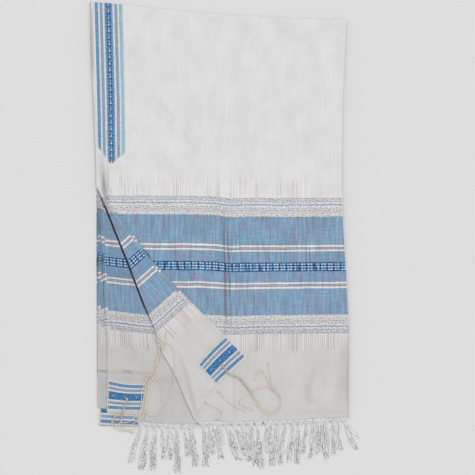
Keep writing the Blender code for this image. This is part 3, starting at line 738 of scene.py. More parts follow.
def cloth_piece(name, stretches, material):
    """Makes one piece with a closed wall for each stretch of cloth."""
    verts, faces, cloth, creases, shades = [], [], [], [], []
    for stretch in stretches:
        grid = stretch.grid()
        places = grid[:, :, :3]
        down = np.gradient(places, axis=0)
        right = np.gradient(places, axis=1)
        normal = np.cross(down, right)
        normal /= np.linalg.norm(normal, axis=2, keepdims=True)
        reach = normal * grid[:, :, 7:8] / 2
        rows, columns = grid.shape[:2]
        start = len(verts)
        verts += ((places + reach).reshape(-1, 3) * MM).tolist()
        verts += ((places - reach).reshape(-1, 3) * MM).tolist()
        index = np.arange(rows * columns).reshape(rows, columns) + start
        under = rows * columns
        a, b, c, d = index[:-1, :-1], index[1:, :-1], index[1:, 1:], index[:-1, 1:]
        top = np.stack([a, b, c, d], axis=2).reshape(-1, 4)
        faces += top.tolist() + (top[:, ::-1] + under).tolist()
        rim = list(index[0]) + list(index[1:, -1]) + list(index[-1, -2::-1]) + list(index[-2:0:-1, 0])
        for near, far in zip(rim, rim[1:] + rim[:1]):
            faces.append([int(near), int(far), int(far) + under, int(near) + under])
        for _ in range(2):
            cloth += (grid[:, :, 3:5].reshape(-1, 2) * MM).tolist()
            creases += grid[:, :, 5].ravel().tolist()
            shades += grid[:, :, 6].ravel().tolist()
    mesh = bpy.data.meshes.new(name)
    mesh.from_pydata(verts, [], faces)
    loops = np.zeros(len(mesh.loops), np.int32)
    mesh.loops.foreach_get("vertex_index", loops)
    mesh.uv_layers.new(name="cloth").data.foreach_set("uv", np.array(cloth)[loops].ravel())
    # The crease mark and the shade mark carry painted shade to the silk's finish; a ribbon keeps its margin in
    # the shade mark
    for attribute, values in (("crease", creases), ("shade", shades)):
        mesh.attributes.new(attribute, "FLOAT", "POINT").data.foreach_set("value", values)
    mesh.shade_smooth()
    mesh.set_sharp_from_angle(angle=math.radians(55))
    mesh.materials.append(material)
    return linked(name, mesh)


def linked(name, data):
    """Puts an object with this mesh or curve in the scene."""
    piece = bpy.data.objects.new(name, data)
    bpy.context.scene.collection.objects.link(piece)
    return piece


def belongs(piece, slot, *nodes):
    """Lets a finished piece ride on the shawl and stand for its solids."""
    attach(piece, "root")
    if nodes:
        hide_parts(*nodes)
    return piece


def front_edges(y):
    """Gives the left, crease and right places of the front stretch's row at one left height."""
    left_x, left_y, crease_x, right_x, right_y = along(FRONT_ROWS, at_height(FRONT_ROWS, y, 1))
    return Vector((left_x, left_y)), crease_x, Vector((right_x, right_y))


def stripe_height(x, y):
    """Gives how far above the border's middle a place of the flat cloth lies."""
    top_drop, foot_drop = read_at(STRIPE_DROPS, x)
    share = smooth((y - BORDER_FOOT) / (BORDER_TOP - BORDER_FOOT))
    height = y - BORDER_MIDDLE + foot_drop + (top_drop - foot_drop) * share
    return height - STRIPE_RISE * smooth((abs(height) - RISE_FROM) / (RISE_TO - RISE_FROM))


def roll(share, radius):
    """Gives the outward reach and the drop of a rolled fold at a share of its half turn."""
    turn = math.pi * share
    return radius * math.sin(turn), radius * (1 - math.cos(turn))


def edge_droop(distance, droop):
    """Gives how far the cloth droops at a distance from a free edge."""
    return droop * (1 - smooth(distance / DROOP_WIDTH))


def front_stretch():
    """Front cloth: rolled over at the top and right folds, turned back along its left."""
    top, hem = FRONT_ROWS[0][1], FRONT_ROWS[-1][1]
    heights = steps(top - OUTER_ROLL, APEX_Y, GRID_STEP)
    heights += steps(APEX_Y - GRID_STEP, hem + HEM_WIDTH, GRID_STEP)
    heights += [hem + HEM_WIDTH - HEM_STEP, hem + HEM_STEP, hem]
    stretch = Stretch()
    turns = [(k / ROLL_TURNS) for k in range(ROLL_TURNS, 0, -1)]
    for share, y in [(turn, heights[0]) for turn in turns] + [(0.0, y) for y in heights]:
        top_turn = math.pi * share
        left, crease_x, right = front_edges(y)
        if y < APEX_Y:
            left.x += PAIR_ROLL + FOLD_STUB
        flat_right = right.x - PAIR_ROLL
        low, high = crease_x - CREASE_HALF_WIDTH, crease_x + CREASE_HALF_WIDTH
        hem_places = [left.x, left.x + HEM_STEP, left.x + HEM_WIDTH - HEM_STEP]
        inner = left.x + HEM_WIDTH
        places = hem_places + [
            inner + (low - left.x - HEM_WIDTH) * k / FRONT_LEFT_COLUMNS for k in range(FRONT_LEFT_COLUMNS)
        ]
        places += [low + (high - low) * k / CREASE_COLUMNS for k in range(CREASE_COLUMNS)]
        places += [high + (flat_right - high) * k / FRONT_RIGHT_COLUMNS for k in range(FRONT_RIGHT_COLUMNS + 1)]
        down = (top - y) / (top - hem)
        row = []
        for x, right_share in [(x, 0.0) for x in places] + [(flat_right, t) for t in reversed(turns)]:
            right_reach, right_drop = roll(right_share, PAIR_ROLL)
            share = (x - left.x) / (right.x - left.x)
            bow = 4 * share * (1 - share) * (TOP_BOW * (1 - down) ** 3 + HEM_BOW * down**3)
            place_y = left.y + (right.y - left.y) * share - bow
            crease = ridge(FRONT_CREASES, x, place_y)
            inwards = x - left.x
            free = min(y - hem, inwards if y > APEX_Y else DROOP_WIDTH)
            lift = crease + wrinkle(x, place_y, 1.0) - edge_droop(free, TOP_DROOP) - right_drop
            radius = OUTER_ROLL + lift
            height = FRONT_MID - OUTER_ROLL + radius * math.cos(top_turn)
            top_reach = radius * math.sin(top_turn)
            hemmed = y - hem < HEM_WIDTH or (y > APEX_Y and inwards < HEM_WIDTH - HEM_STEP / 2)
            # Crease mark: painted mauve shade in the creases; shade mark: the painted shade lines
            row.append(
                (
                    x + right_reach,
                    place_y + top_reach,
                    height,
                    inwards if y > APEX_Y else x - TURN_PLACE[0],
                    stripe_height(x, place_y) + OUTER_ROLL * top_turn,
                    min(crease / 1.5, 1.0),
                    ridge(FRONT_PAINTED_SHADES, x, place_y),
                    HEM_SHELL if hemmed else SHELL,
                )
            )
        stretch.add_row(row)
    return stretch


def corner_place(u, v):
    """Gives a place on the turned corner: u from the fold to the free edge, v down to the hem."""
    fold_x, fold_y, free_x, free_y = along(CORNER_ROWS, v)
    fold, free = Vector((fold_x, fold_y)), Vector((free_x, free_y))
    across = (free - fold).normalized()
    upward = Vector((-across.y, across.x))
    return fold.lerp(free, u) + upward * CORNER_HEM_BOW * 4 * u * (1 - u) * v**4


def mirrored_height(place):
    """Gives the stripe height of a place on the turned corner, mirrored about its fold."""
    origin, run = Vector(TURN_PLACE), Vector(TURN_RUN)
    mirrored = (origin + run * (place - origin).dot(run)) * 2 - place
    height = stripe_height(mirrored.x, mirrored.y)
    return height + read_at(CORNER_SHIFTS, height)[0]


def corner_stretch():
    """Corner turned back over the front: a stub of flat cloth, the fold's roll and the corner."""
    stretch = Stretch()
    radius = (CORNER_MID + FOLD_PUFF - FRONT_MID) / 2
    length = sum(
        (Vector(b[:2]) - Vector(a[:2])).length for a, b in zip(CORNER_ROWS, CORNER_ROWS[1:])
    )
    for v in [1 - reach / length for reach in reversed(from_edge(length, CORNER_GRID_ROWS))]:
        fold, free = corner_place(0, v), corner_place(1, v)
        width = (free - fold).length
        across = (free - fold).normalized()
        at_fold = mirrored_height(fold)
        row = []
        stub = [(radius + FOLD_STUB, 0.0), (radius + FOLD_STUB / 2, 0.0)]
        turns = [roll(k / ROLL_TURNS, radius) for k in range(ROLL_TURNS)]
        for reach_in, rise in stub + [(radius - reach, rise) for reach, rise in turns]:
            place = fold + across * reach_in
            # The roll gets a full crease mark and painted shade
            shade = ROLL_SHADE * read_at(FOLD_SHADES, fold.y)[0]
            row.append((*place, FRONT_MID + rise, width, at_fold, 1.0, shade, SHELL))
        for u in [1 - reach / width for reach in reversed(from_edge(width - radius, CORNER_GRID_COLUMNS))]:
            place = corner_place(u, v)
            inwards = width * (1 - u)
            crease = ridge(CORNER_CREASES, *place)
            from_fold = width * u - radius
            puff = FOLD_PUFF * (1 - smooth(from_fold / FOLD_PUFF_WIDTH))
            free_edge = min(inwards, (1 - v) * length)
            height = CORNER_MID + crease + puff + wrinkle(*place, 2.0) - edge_droop(free_edge, TOP_DROOP)
            hem_line = HEM_WIDTH - HEM_STEP / 2
            hemmed = inwards < hem_line or (1 - v) * length < hem_line
            stripes = mirrored_height(place) + (HEM_JOG if inwards < hem_line else 0.0)
            thickness = HEM_SHELL if hemmed else SHELL
            # Painted mauve shade along the fold and in the creases, and painted shade lines
            fold_shade_mark = max(min(crease / 1.5, 1.0), 1 - smooth((from_fold - PAINTED_FOLD_SHADE_FULL) / PAINTED_FOLD_SHADE_WIDTH))
            shade = ridge(CORNER_PAINTED_SHADES, *place)
            row.append((*place, height, inwards, stripes, fold_shade_mark, shade, thickness))
        stretch.add_row(row)
    return stretch


def front_left(y):
    """Gives the x at which the front stretch, or its turned fold, ends at the left."""
    if y > CORNER_ROWS[0][1]:
        return front_edges(y)[0].x
    return along(CORNER_ROWS, at_height(CORNER_ROWS, y, 1))[0]


def hidden_stretch(
    left_table, hem_table, *, mid, droop, creases, seed, stripes, cover, roll_top, roll_right, painted_shades, jog, dim
):
    """A lower stretch of cloth: it shows at its left and its hem, and runs on to the folds."""
    top, hem = left_table[0][1] - roll_top, left_table[-1][1]
    top_right = FRONT_ROWS[0][4] - roll_top - 1.0
    right_hem = hem_table[-1][1]
    heights = steps(top, PLAIN_ABOVE, PLAIN_STEP)[:-1] + steps(PLAIN_ABOVE, hem + HEM_WIDTH, GRID_STEP)
    heights += [hem + HEM_WIDTH - HEM_STEP, hem + HEM_STEP, hem]
    stretch = Stretch()
    for y in heights:
        left_x, left_y = along(left_table, at_height(left_table, y, 1))
        down = (top - y) / (top - hem)
        right_y = top_right + (right_hem - top_right) * down
        right_x = along(FRONT_ROWS, at_height(FRONT_ROWS, right_y, 4))[3] - roll_right
        places = [left_x + reach for reach in from_edge(HIDDEN_FROM - left_x, HIDDEN_GRID_COLUMNS)]
        places += steps(HIDDEN_FROM, right_x, (right_x - HIDDEN_FROM) / COVERED_COLUMNS)[1:]
        row = []
        for x in places:
            share = (x - left_x) / (right_x - left_x)
            bow = 4 * share * (1 - share) * (TOP_BOW + 1) * (1 - down) ** 3
            straight_hem = hem + (right_hem - hem) * share
            place_y = left_y + (right_y - left_y) * share - bow
            place_y += (read_at(hem_table, x)[0] - straight_hem) * down**6
            crease = ridge(creases, x, place_y)
            inwards = x - left_x
            rumple = wrinkle(x, place_y, seed) * min(1.0, (right_x - x) / 30)
            height = mid + crease + rumple - edge_droop(min(inwards, y - hem), droop)
            hem_line = HEM_WIDTH - HEM_STEP / 2
            thickness = HEM_SHELL if inwards < hem_line or y - hem < HEM_WIDTH else SHELL
            # Painted shadow beside the edge of the cloth above, painted shade lines, and the stretch's painted
            # dimming
            edge_x, depth, reach = cover(place_y)
            shade = depth * (1 - smooth((edge_x - x - reach * 0.55) / (reach * 0.45)))
            shade = min(shade + ridge(painted_shades, x, place_y) + dim, 1.0)
            woven = stripes(x, place_y) - (jog if inwards < hem_line else 0.0)
            row.append((x, place_y, height, inwards, woven, min(crease / 0.7, 1.0), shade, thickness))
        stretch.add_row(row)
    return stretch


def straight_stripes(lift, slope, from_x):
    """Gives the stripe height of a hidden stretch, where the stripes run straight on a slope."""
    return lambda x, y: y + lift + slope * (x + from_x)


class Finish:
    """Builds one procedural material node by node."""

    def __init__(self, name, roughness, sheen, specular):
        self.material = bpy.data.materials.new(name)
        self.material.use_nodes = True
        self.nodes = self.material.node_tree.nodes
        self.links = self.material.node_tree.links
        self.shader = self.nodes["Principled BSDF"]
        self.shader.inputs["Roughness"].default_value = roughness
        self.shader.inputs["Sheen Weight"].default_value = sheen
        self.shader.inputs["Sheen Roughness"].default_value = 0.4
        self.shader.inputs["Specular IOR Level"].default_value = specular

    def feed(self, socket, value):
        """Links a socket to another, or sets its value."""
        if isinstance(value, bpy.types.NodeSocket):
            self.links.new(value, socket)
        else:
            socket.default_value = value

    def node(self, kind, values=(), **settings):
        """Adds a node with its settings and input values."""
        made = self.nodes.new(kind)
        for key, value in settings.items():
            setattr(made, key, value)
        for place, value in dict(values).items():
            self.feed(made.inputs[place], value)
        return made

    def maths(self, operation, first, second=0.0, third=0.0):
        """Adds one step of arithmetic."""
        values = {0: first, 1: second, 2: third}
        return self.node("ShaderNodeMath", values, operation=operation).outputs[0]

    def times(self, first, second):
        """Multiplies two values."""
        return self.maths("MULTIPLY", first, second)

    def plus(self, first, second):
        """Adds two values."""
        return self.maths("ADD", first, second)

    def minus(self, first, second):
        """Takes the second value from the first."""
        return self.maths("SUBTRACT", first, second)

    def over(self, first, second):
        """Divides the first value by the second."""
        return self.maths("DIVIDE", first, second)

    def above(self, first, second):
        """Gives one where the first value is the larger, and zero elsewhere."""
        return self.maths("GREATER_THAN", first, second)

    def below(self, first, second):
        """Gives one where the first value is the smaller, and zero elsewhere."""
        return self.maths("LESS_THAN", first, second)

    def larger(self, first, second):
        """Gives the larger of two values."""
        return self.maths("MAXIMUM", first, second)

    def between(self, value, low, high, out_low=0.0, out_high=1.0):
        """Maps a value from one range to another, and keeps it inside."""
        values = {0: value, 1: low, 2: high, 3: out_low, 4: out_high}
        return self.node("ShaderNodeMapRange", values).outputs[0]

    def mix(self, share, first, second, how="MIX"):
        """Mixes two colours."""
        made = self.node("ShaderNodeMix", {0: share, 6: first, 7: second}, data_type="RGBA", blend_type=how)
        return made.outputs[2]

    def bands(self, value, stops):
        """Gives plain bands of colour, each from its stop on."""
        made = self.node("ShaderNodeValToRGB", {0: value})
        ramp = made.color_ramp
        ramp.interpolation = "CONSTANT"
        ramp.elements.remove(ramp.elements[1])
        ramp.elements[0].position = stops[0][0]
        ramp.elements[0].color = linear(stops[0][1])
        for position, colour in stops[1:]:
            ramp.elements.new(position).color = linear(colour)
        return made.outputs[0]

    def noise(self, place, scale=1.0, detail=2.0):
        """Gives soft noise around one half."""
        return self.node("ShaderNodeTexNoise", {"Vector": place, "Scale": scale, "Detail": detail}).outputs[0]

    def at(self, x, y, z=0.0):
        """Joins three numbers into a place."""
        return self.node("ShaderNodeCombineXYZ", {0: x, 1: y, 2: z}).outputs[0]

    def cloth_place(self):
        """Gives the two cloth coordinates in millimetres."""
        uv = self.node("ShaderNodeUVMap", uv_map="cloth").outputs[0]
        split = self.node("ShaderNodeSeparateXYZ", {0: uv})
        return [self.times(split.outputs[k], 1 / MM) for k in range(2)]

    def scaled(self, u, v, u_length, v_length, seed=0.0):
        """Gives a place whose unit is as long as asked in each direction."""
        return self.at(self.over(u, u_length), self.over(v, v_length), seed)

    def lit(self, colour, red, green, blue):
        """Multiplies the three parts of a colour."""
        light = self.node("ShaderNodeCombineColor", {0: red, 1: green, 2: blue}).outputs[0]
        return self.mix(1.0, colour, light, "MULTIPLY")

    def chart(self, column, row, chart, inks, ground):
        """Reads a small woven chart: column and row are shares from 0 to 1."""
        made = None
        for k, line in enumerate(chart):
            stops = [(c / len(line), inks.get(letter, ground)) for c, letter in enumerate(line)]
            stops = [stop for c, stop in enumerate(stops) if c == 0 or stop[1] != stops[c - 1][1]]
            threads = self.bands(column, stops)
            if made is None:
                made = threads
            else:
                made = self.mix(self.above(row, k / len(chart)), made, threads)
        return made

    def marks(self, name):
        """Reads a mark that the cloth's grid keeps at each place."""
        return self.node("ShaderNodeAttribute", attribute_name=name).outputs["Fac"]

    def bump(self, height, distance, strength=1.0, under=None):
        """Turns heights in millimetres into the surface's small relief."""
        values = {"Height": height, "Distance": distance * MM, "Strength": strength}
        if under is not None:
            values["Normal"] = under
        return self.node("ShaderNodeBump", values).outputs[0]

    def weave(self, u, v, settings):
        """Gives the fine relief of plain weave."""
        along_u = self.maths("SINE", self.times(u, 2 * math.pi / settings.weave_pitch))
        along_v = self.maths("SINE", self.times(v, 2 * math.pi / settings.weave_pitch))
        return self.plus(along_u, along_v)

    def done(self, colour, normal):
        """Sets the colour and the relief, and gives the material."""
        self.feed(self.shader.inputs["Base Color"], colour)
        self.feed(self.shader.inputs["Normal"], normal)
        return self.material


def striped_silk(settings):
    """Silk with its woven border: blue, cream and silver stripes and a figured one."""
    finish = Finish("striped_silk", 0.62, settings.silk_sheen, 0.25)
    u, v = finish.cloth_place()
    away = finish.maths("ABSOLUTE", v)
    stripes = [(start / STRIPE_REACH, colour) for start, colour in STRIPES]
    waver = finish.noise(finish.scaled(u, v, 60.0, 400.0, 3.0))
    edge = finish.plus(away, finish.between(waver, 0.3, 0.7, -0.7, 0.7))
    colour = finish.bands(finish.over(edge, STRIPE_REACH), stripes)

    # Figured stripe, in places half hidden by the ground
    column = finish.maths("FRACT", finish.over(u, FIGURED_REPEAT))
    row = finish.between(v, -FIGURED_HALF, FIGURED_HALF)
    figured = finish.chart(column, row, CLOTH_CHART, CLOTH_INKS, FIGURE_GROUND)
    dull = finish.noise(finish.scaled(u, v, 12.0, 40.0, 8.0), 1.0, 1.0)
    figured = finish.mix(finish.between(dull, 0.56, 0.66, 0.0, 0.8), figured, linear(NAVY))
    figured = finish.mix(finish.between(dull, 0.46, 0.36, 0.0, 0.6), figured, linear(BRIGHT_BLUE))
    frayed = finish.noise(finish.scaled(u, v, 2.8, 1.9, 9.0), 1.0, 1.0)
    figured = finish.mix(finish.between(frayed, 0.54, 0.66, 0.0, 0.7), figured, linear(FIGURE_GROUND))
    colour = finish.mix(finish.below(edge, FIGURED_HALF), colour, figured)

    # Blue ground: mauve weft shows through in streaks, dulled by painted shade; the same mauve is painted shade
    # along the creases and the dark painted shadows, and cyan painted glints come and go
    in_blue = finish.below(away, BLUE_END)
    crease = finish.marks("crease")
    streaks = finish.noise(finish.scaled(u, v, 5.2, 90.0, 1.0), 1.0, 2.0)
    clouds = finish.noise(finish.scaled(u, v, 26.0, 40.0, 4.0), 1.0, 3.0)
    shown = finish.plus(finish.times(streaks, 0.55), finish.times(clouds, 0.45))
    shown = finish.between(shown, 0.46, 0.60, 0.0, 0.75)
    shown = finish.larger(shown, finish.times(crease, 0.85))
    shade = finish.marks("shade")
    # Painted shade leaves less of the mauve streaks and of the painted glints
    hidden = finish.between(shade, 0.0, 0.08, 1.0, 0.4)
    shown = finish.times(shown, hidden)
    shown = finish.larger(shown, finish.between(shade, 0.16, 0.34, 0.0, 0.8))
    ground = finish.times(in_blue, finish.above(edge, FIGURED_HALF))
    beside_pair = finish.above(finish.maths("ABSOLUTE", finish.minus(away, PAIR_MIDDLE)), PAIR_HALF)
    ground = finish.times(ground, finish.between(beside_pair, 0.0, 1.0, 0.12, 1.0))
    colour = finish.mix(finish.times(shown, ground), colour, linear(MAUVE_WEFT_AND_SHADE))
    glints = finish.noise(finish.scaled(u, v, 4.0, 44.0, 21.0), 1.0, 3.0)
    glints = finish.times(finish.between(glints, 0.5, 0.62, 0.0, 0.6), finish.times(ground, hidden))
    colour = finish.mix(glints, colour, linear(PAINTED_CYAN_GLINT))

    # Silver threads come and go along the pale lines
    dashes = finish.noise(finish.scaled(u, v, 4.2, 1.3, 5.0), 1.0, 2.0)
    grains = finish.noise(finish.scaled(u, v, 2.9, 2.3, 6.0), 1.0, 0.0)
    in_metal = finish.times(finish.above(away, BLUE_END), finish.below(away, METAL_END))
    pale = finish.times(in_metal, finish.between(dashes, 0.5, 0.62, 0.0, 0.7))
    colour = finish.mix(pale, colour, linear(WHITE))
    grey = finish.times(in_metal, finish.between(grains, 0.46, 0.31, 0.0, 1.0))
    colour = finish.mix(grey, colour, linear(SILVER_SHADE))

    # Uneven warp and weft threads, stronger in the blue than in the white, with painted sheen streaks (gloss)
    # along the warp
    warp = finish.noise(finish.scaled(u, v, 2.5, 40.0, 1.5), 1.0, 3.0)
    weft = finish.noise(finish.scaled(u, v, 30.0, 2.4, 2.0), 1.0, 3.0)
    depth = finish.between(in_blue, 0.0, 1.0, 0.10, 0.75)
    threads = finish.plus(finish.times(warp, 0.6), finish.times(weft, 0.4))
    swing = finish.times(finish.minus(threads, 0.5), depth)
    light = finish.plus(1.0, finish.times(swing, 2.0))
    gloss = finish.noise(finish.scaled(u, v, 4.4, 55.0, 11.0), 1.0, 2.0)
    swing = finish.between(in_blue, 0.0, 1.0, 0.06, 0.62)
    gloss = finish.maths("MULTIPLY_ADD", finish.minus(gloss, 0.5), swing, 1.0)
    light = finish.times(light, gloss)

    # Drawn threads beside the border: thin lines of uneven length, with painted shade on the lines and a
    # painted gleam between them
    cell_place = finish.over(u, RIB_PITCH)
    cell = finish.maths("FLOOR", cell_place)
    chance = finish.node("ShaderNodeTexWhiteNoise", {"W": cell}, noise_dimensions="1D").outputs[0]
    later = finish.plus(cell, 57.3)
    other = finish.node("ShaderNodeTexWhiteNoise", {"W": later}, noise_dimensions="1D").outputs[0]
    middle = finish.between(chance, 0.0, 1.0, 0.28, 0.72)
    off = finish.maths("ABSOLUTE", finish.minus(finish.maths("FRACT", cell_place), middle))
    line = finish.between(off, 0.08, 0.38, 1.0, 0.0)
    upper = finish.above(v, 0.0)
    shortest = finish.between(upper, 0.0, 1.0, RIB_START + LOWER_RIBS[0], RIB_START + UPPER_RIBS[0])
    longest = finish.between(upper, 0.0, 1.0, RIB_START + LOWER_RIBS[1], RIB_START + UPPER_RIBS[1])
    reach = finish.maths("MULTIPLY_ADD", other, finish.minus(longest, shortest), shortest)
    past = finish.over(finish.minus(reach, away), finish.between(upper, 0.0, 1.0, 3.0, 12.0))
    fade = finish.maths("MINIMUM", finish.larger(past, 0.0), 1.0)
    began = finish.above(away, RIB_START)
    cluster = finish.noise(finish.scaled(u, v, 26.0, 160.0, 6.0), 1.0, 1.0)
    faintest = finish.between(upper, 0.0, 1.0, 0.25, 0.05)
    strongest = finish.between(upper, 0.0, 1.0, 1.0, 0.7)
    cluster = finish.between(cluster, 0.42, 0.62, faintest, strongest)
    ribs = finish.times(finish.times(line, fade), finish.times(began, cluster))
    gaps = finish.times(finish.times(began, fade), finish.minus(1.0, line))

    # Lower part of the shawl is less bright (painted shade) and a little warmer; painted shade darkens the
    # creases and paints the shadows beside folds and edges; a painted gleam lies between the drawn threads
    lower = finish.between(v, -95.0, -190.0, 1.0, settings.lower_shade)
    soft = finish.noise(finish.scaled(u, v, 38.0, 60.0, 7.0), 1.0, 3.0)
    lower = finish.times(lower, finish.between(soft, 0.3, 0.7, 0.945, 1.035))
    light = finish.times(light, finish.maths("MULTIPLY_ADD", gaps, settings.rib_gleam, lower))
    light = finish.times(light, finish.between(crease, 0.0, 1.0, 1.0, 0.965))
    light = finish.times(light, finish.between(shade, 0.0, 1.0, 1.0, 0.03))
    colour = finish.mix(finish.times(ribs, 0.85), colour, linear(RIB_SHADE))
    green = finish.times(light, finish.between(v, -95.0, -190.0, 1.0, 0.985))
    blue = finish.times(light, finish.between(v, -95.0, -190.0, 1.0, 0.965))
    colour = finish.lit(colour, light, green, blue)
    fine = finish.bump(finish.weave(u, v, settings), 0.035, 0.5)
    slubs = finish.bump(threads, 0.9, 0.5, fine)
    return finish.done(colour, finish.bump(finish.times(ribs, -1.0), 0.3, 0.5, slubs))


def woven_ribbon(name, settings, weave, depth):
    """Woven ribbon of the neckband and the patches: striped, with a figured middle."""
    stripes, chart, repeat, ground, margin_colour = weave
    finish = Finish(name, 0.5, settings.silk_sheen, 0.3)
    u, v = finish.cloth_place()
    across = finish.over(u, RIBBON_WIDTH)
    colour = finish.bands(across, stripes)
    column = finish.maths("FRACT", finish.over(v, repeat))
    row = finish.between(across, *RIBBON_FIGURE)
    figure = finish.chart(column, row, chart, INKS, ground)
    frayed = finish.noise(finish.scaled(u, v, 1.8, 2.6, 8.0), 1.0, 1.0)
    figure = finish.mix(finish.between(frayed, 0.5, 0.66, 0.0, 0.6), figure, linear(ground))
    drift = finish.noise(finish.scaled(u, v, 80.0, 26.0, 5.0), 1.0, 1.0)
    figure = finish.mix(finish.between(drift, 0.5, 0.7, 0.0, 0.4), figure, linear(BRIGHT_BLUE))
    first_end, last_start = RIBBON_STRIPES[1][0], RIBBON_STRIPES[-1][0]
    inside_blue = finish.larger(finish.below(across, first_end), finish.above(across, last_start))
    inside = finish.times(finish.above(across, RIBBON_FIGURE[0]), finish.below(across, RIBBON_FIGURE[1]))
    colour = finish.mix(inside, colour, figure)
    margin = finish.larger(finish.below(across, 0.0), finish.above(across, 1.0))
    margin = finish.larger(margin, finish.above(finish.marks("shade"), 0.5))
    threads = finish.noise(finish.scaled(u, v, 1.3, 20.0, 1.0), 1.0, 3.0)
    weft = finish.noise(finish.scaled(u, v, 14.0, 1.4, 2.0), 1.0, 3.0)
    speckle = finish.noise(finish.scaled(u, v, 1.9, 2.8, 3.0), 1.0, 1.0)
    colour = finish.mix(finish.between(speckle, 0.54, 0.68, 0.0, 0.4), colour, linear(CREAM))
    dark = finish.noise(finish.scaled(u, v, 2.2, 3.4, 13.0), 1.0, 1.0)
    dark = finish.times(finish.between(dark, 0.54, 0.68, 0.0, 0.3), inside_blue)
    colour = finish.mix(dark, colour, linear(BRIGHT_BLUE))
    colour = finish.mix(margin, colour, linear(margin_colour))
    swing = finish.minus(finish.plus(threads, weft), 1.0)
    light = finish.plus(1.0, finish.times(swing, 0.6))
    light = finish.times(light, finish.between(margin, 0.0, 1.0, depth, 1.0))
    colour = finish.lit(colour, light, light, light)
    fine = finish.bump(finish.weave(u, v, settings), 0.06, 0.6)
    return finish.done(colour, finish.bump(threads, 0.6, 0.5, fine))


def spun_yarn(name, colour, swing, dark_share, tip_share):
    """Spun yarn: fibres run along the strand, with painted shadow spots that grow towards its tips."""
    finish = Finish(name, 0.75, 0.3, 0.2)
    place = finish.node("ShaderNodeTexCoord").outputs["Object"]
    drift = finish.noise(place, 55.0, 2.0)
    fibres = finish.noise(place, 1500.0, 2.0)
    spots = finish.noise(place, 330.0, 1.0)
    tone = finish.plus(finish.times(drift, 0.6), finish.times(fibres, 0.4))
    light = finish.between(tone, 0.3, 0.7, 1.0 - swing, 1.0 + swing)
    made = finish.lit(linear(colour), light, light, light)
    down = finish.node("ShaderNodeSeparateXYZ", {0: place}).outputs[1]
    share = finish.between(down, TIPS_FROM * MM, TIPS_TO * MM, dark_share, tip_share)
    spotted = finish.times(finish.between(spots, 0.55, 0.62), share)
    made = finish.mix(spotted, made, linear(PAINTED_THREAD_SHADOW))
    return finish.done(made, finish.bump(fibres, 0.2, 0.5))


def plain_floor():
    """Plain pale surface under the shawl."""
    finish = Finish("floor_paper", 0.9, 0.0, 0.1)
    place = finish.node("ShaderNodeTexCoord").outputs["Object"]
    grain = finish.noise(place, 300.0, 2.0)
    return finish.done(linear(BACKDROP), finish.bump(grain, 0.02, 0.2))


def finishes(settings):
    """Gives the shawl's materials, and makes them on first use."""
    if "striped_silk" not in bpy.data.materials:
        striped_silk(settings)
        woven_ribbon("neckband_ribbon", settings, NECKBAND_WEAVE, 1.0)
        woven_ribbon("patch_ribbon", settings, PATCH_WEAVE, settings.patch_depth)
        for yarn in YARNS:
            spun_yarn(*yarn)
    return bpy.data.materials


class Tree:
    """Builds one Geometry Nodes tree with named inputs."""

    def __init__(self, name, inputs):
        self.group = bpy.data.node_groups.new(name, "GeometryNodeTree")
        sockets = self.group.interface
        sockets.new_socket("Geometry", in_out="INPUT", socket_type="NodeSocketGeometry")
        for label, kind in inputs:
            sockets.new_socket(label, in_out="INPUT", socket_type=kind)
        sockets.new_socket("Geometry", in_out="OUTPUT", socket_type="NodeSocketGeometry")
        self.start = self.group.nodes.new("NodeGroupInput")
        self.end = self.group.nodes.new("NodeGroupOutput")

    def add(self, kind, values=(), **settings):
        """Adds a node, and links or sets its inputs by name or number."""
        made = self.group.nodes.new(kind)
        for key, value in settings.items():
            setattr(made, key, value)
        for place, value in dict(values).items():
            if isinstance(value, bpy.types.NodeSocket):
                self.group.links.new(value, made.inputs[place])
            else:
                made.inputs[place].default_value = value
        return made

    def given(self, label):
        """Gives one of the tree's own inputs."""
        return self.start.outputs[label]

    def finish(self, geometry):
        """Ends the tree: copies are made real and get their material."""
        real = self.add("GeometryNodeRealizeInstances", {0: geometry}).outputs[0]
        smooth_shaded = self.add("GeometryNodeSetShadeSmooth", {0: real}).outputs[0]
        dressed = self.add("GeometryNodeSetMaterial", {0: smooth_shaded, 2: self.given("Finish")})
        self.group.links.new(dressed.outputs[0], self.end.inputs[0])
        return self.group


def twisted_strands():
    """Tree that turns curves into strands of several plies twisted together."""
    if "twisted_strands" in bpy.data.node_groups:
        return bpy.data.node_groups["twisted_strands"]
    inputs = (
        ("Radius", "NodeSocketFloat"),
        ("Plies", "NodeSocketInt"),
        ("Twist length", "NodeSocketFloat"),
        ("Spacing", "NodeSocketFloat"),
        ("Finish", "NodeSocketMaterial"),
    )
    tree = Tree("twisted_strands", inputs)
    line = tree.add(
        "GeometryNodeResampleCurve",
        {"Curve": tree.given("Geometry"), "Length": tree.given("Spacing")},
        mode="LENGTH",
    ).outputs[0]
    travelled = tree.add("GeometryNodeSplineParameter").outputs["Length"]
    turns = tree.add("ShaderNodeMath", {0: travelled, 1: tree.given("Twist length")}, operation="DIVIDE")
    tilt = tree.add("ShaderNodeMath", {0: turns.outputs[0], 1: 2 * math.pi}, operation="MULTIPLY")
    twisted = tree.add("GeometryNodeSetCurveTilt", {"Curve": line, "Tilt": tilt.outputs[0]}).outputs[0]
    inner = tree.add("ShaderNodeMath", {0: tree.given("Radius"), 1: 0.58}, operation="MULTIPLY")
    plies = tree.add(
        "GeometryNodeCurveStar",
        {
            "Points": tree.given("Plies"),
            "Inner Radius": inner.outputs[0],
            "Outer Radius": tree.given("Radius"),
            "Twist": 0.0,
        },
    ).outputs[0]
    made = tree.add(
        "GeometryNodeCurveToMesh", {"Curve": twisted, "Profile Curve": plies, "Fill Caps": True}
    )
    return tree.finish(made.outputs[0])


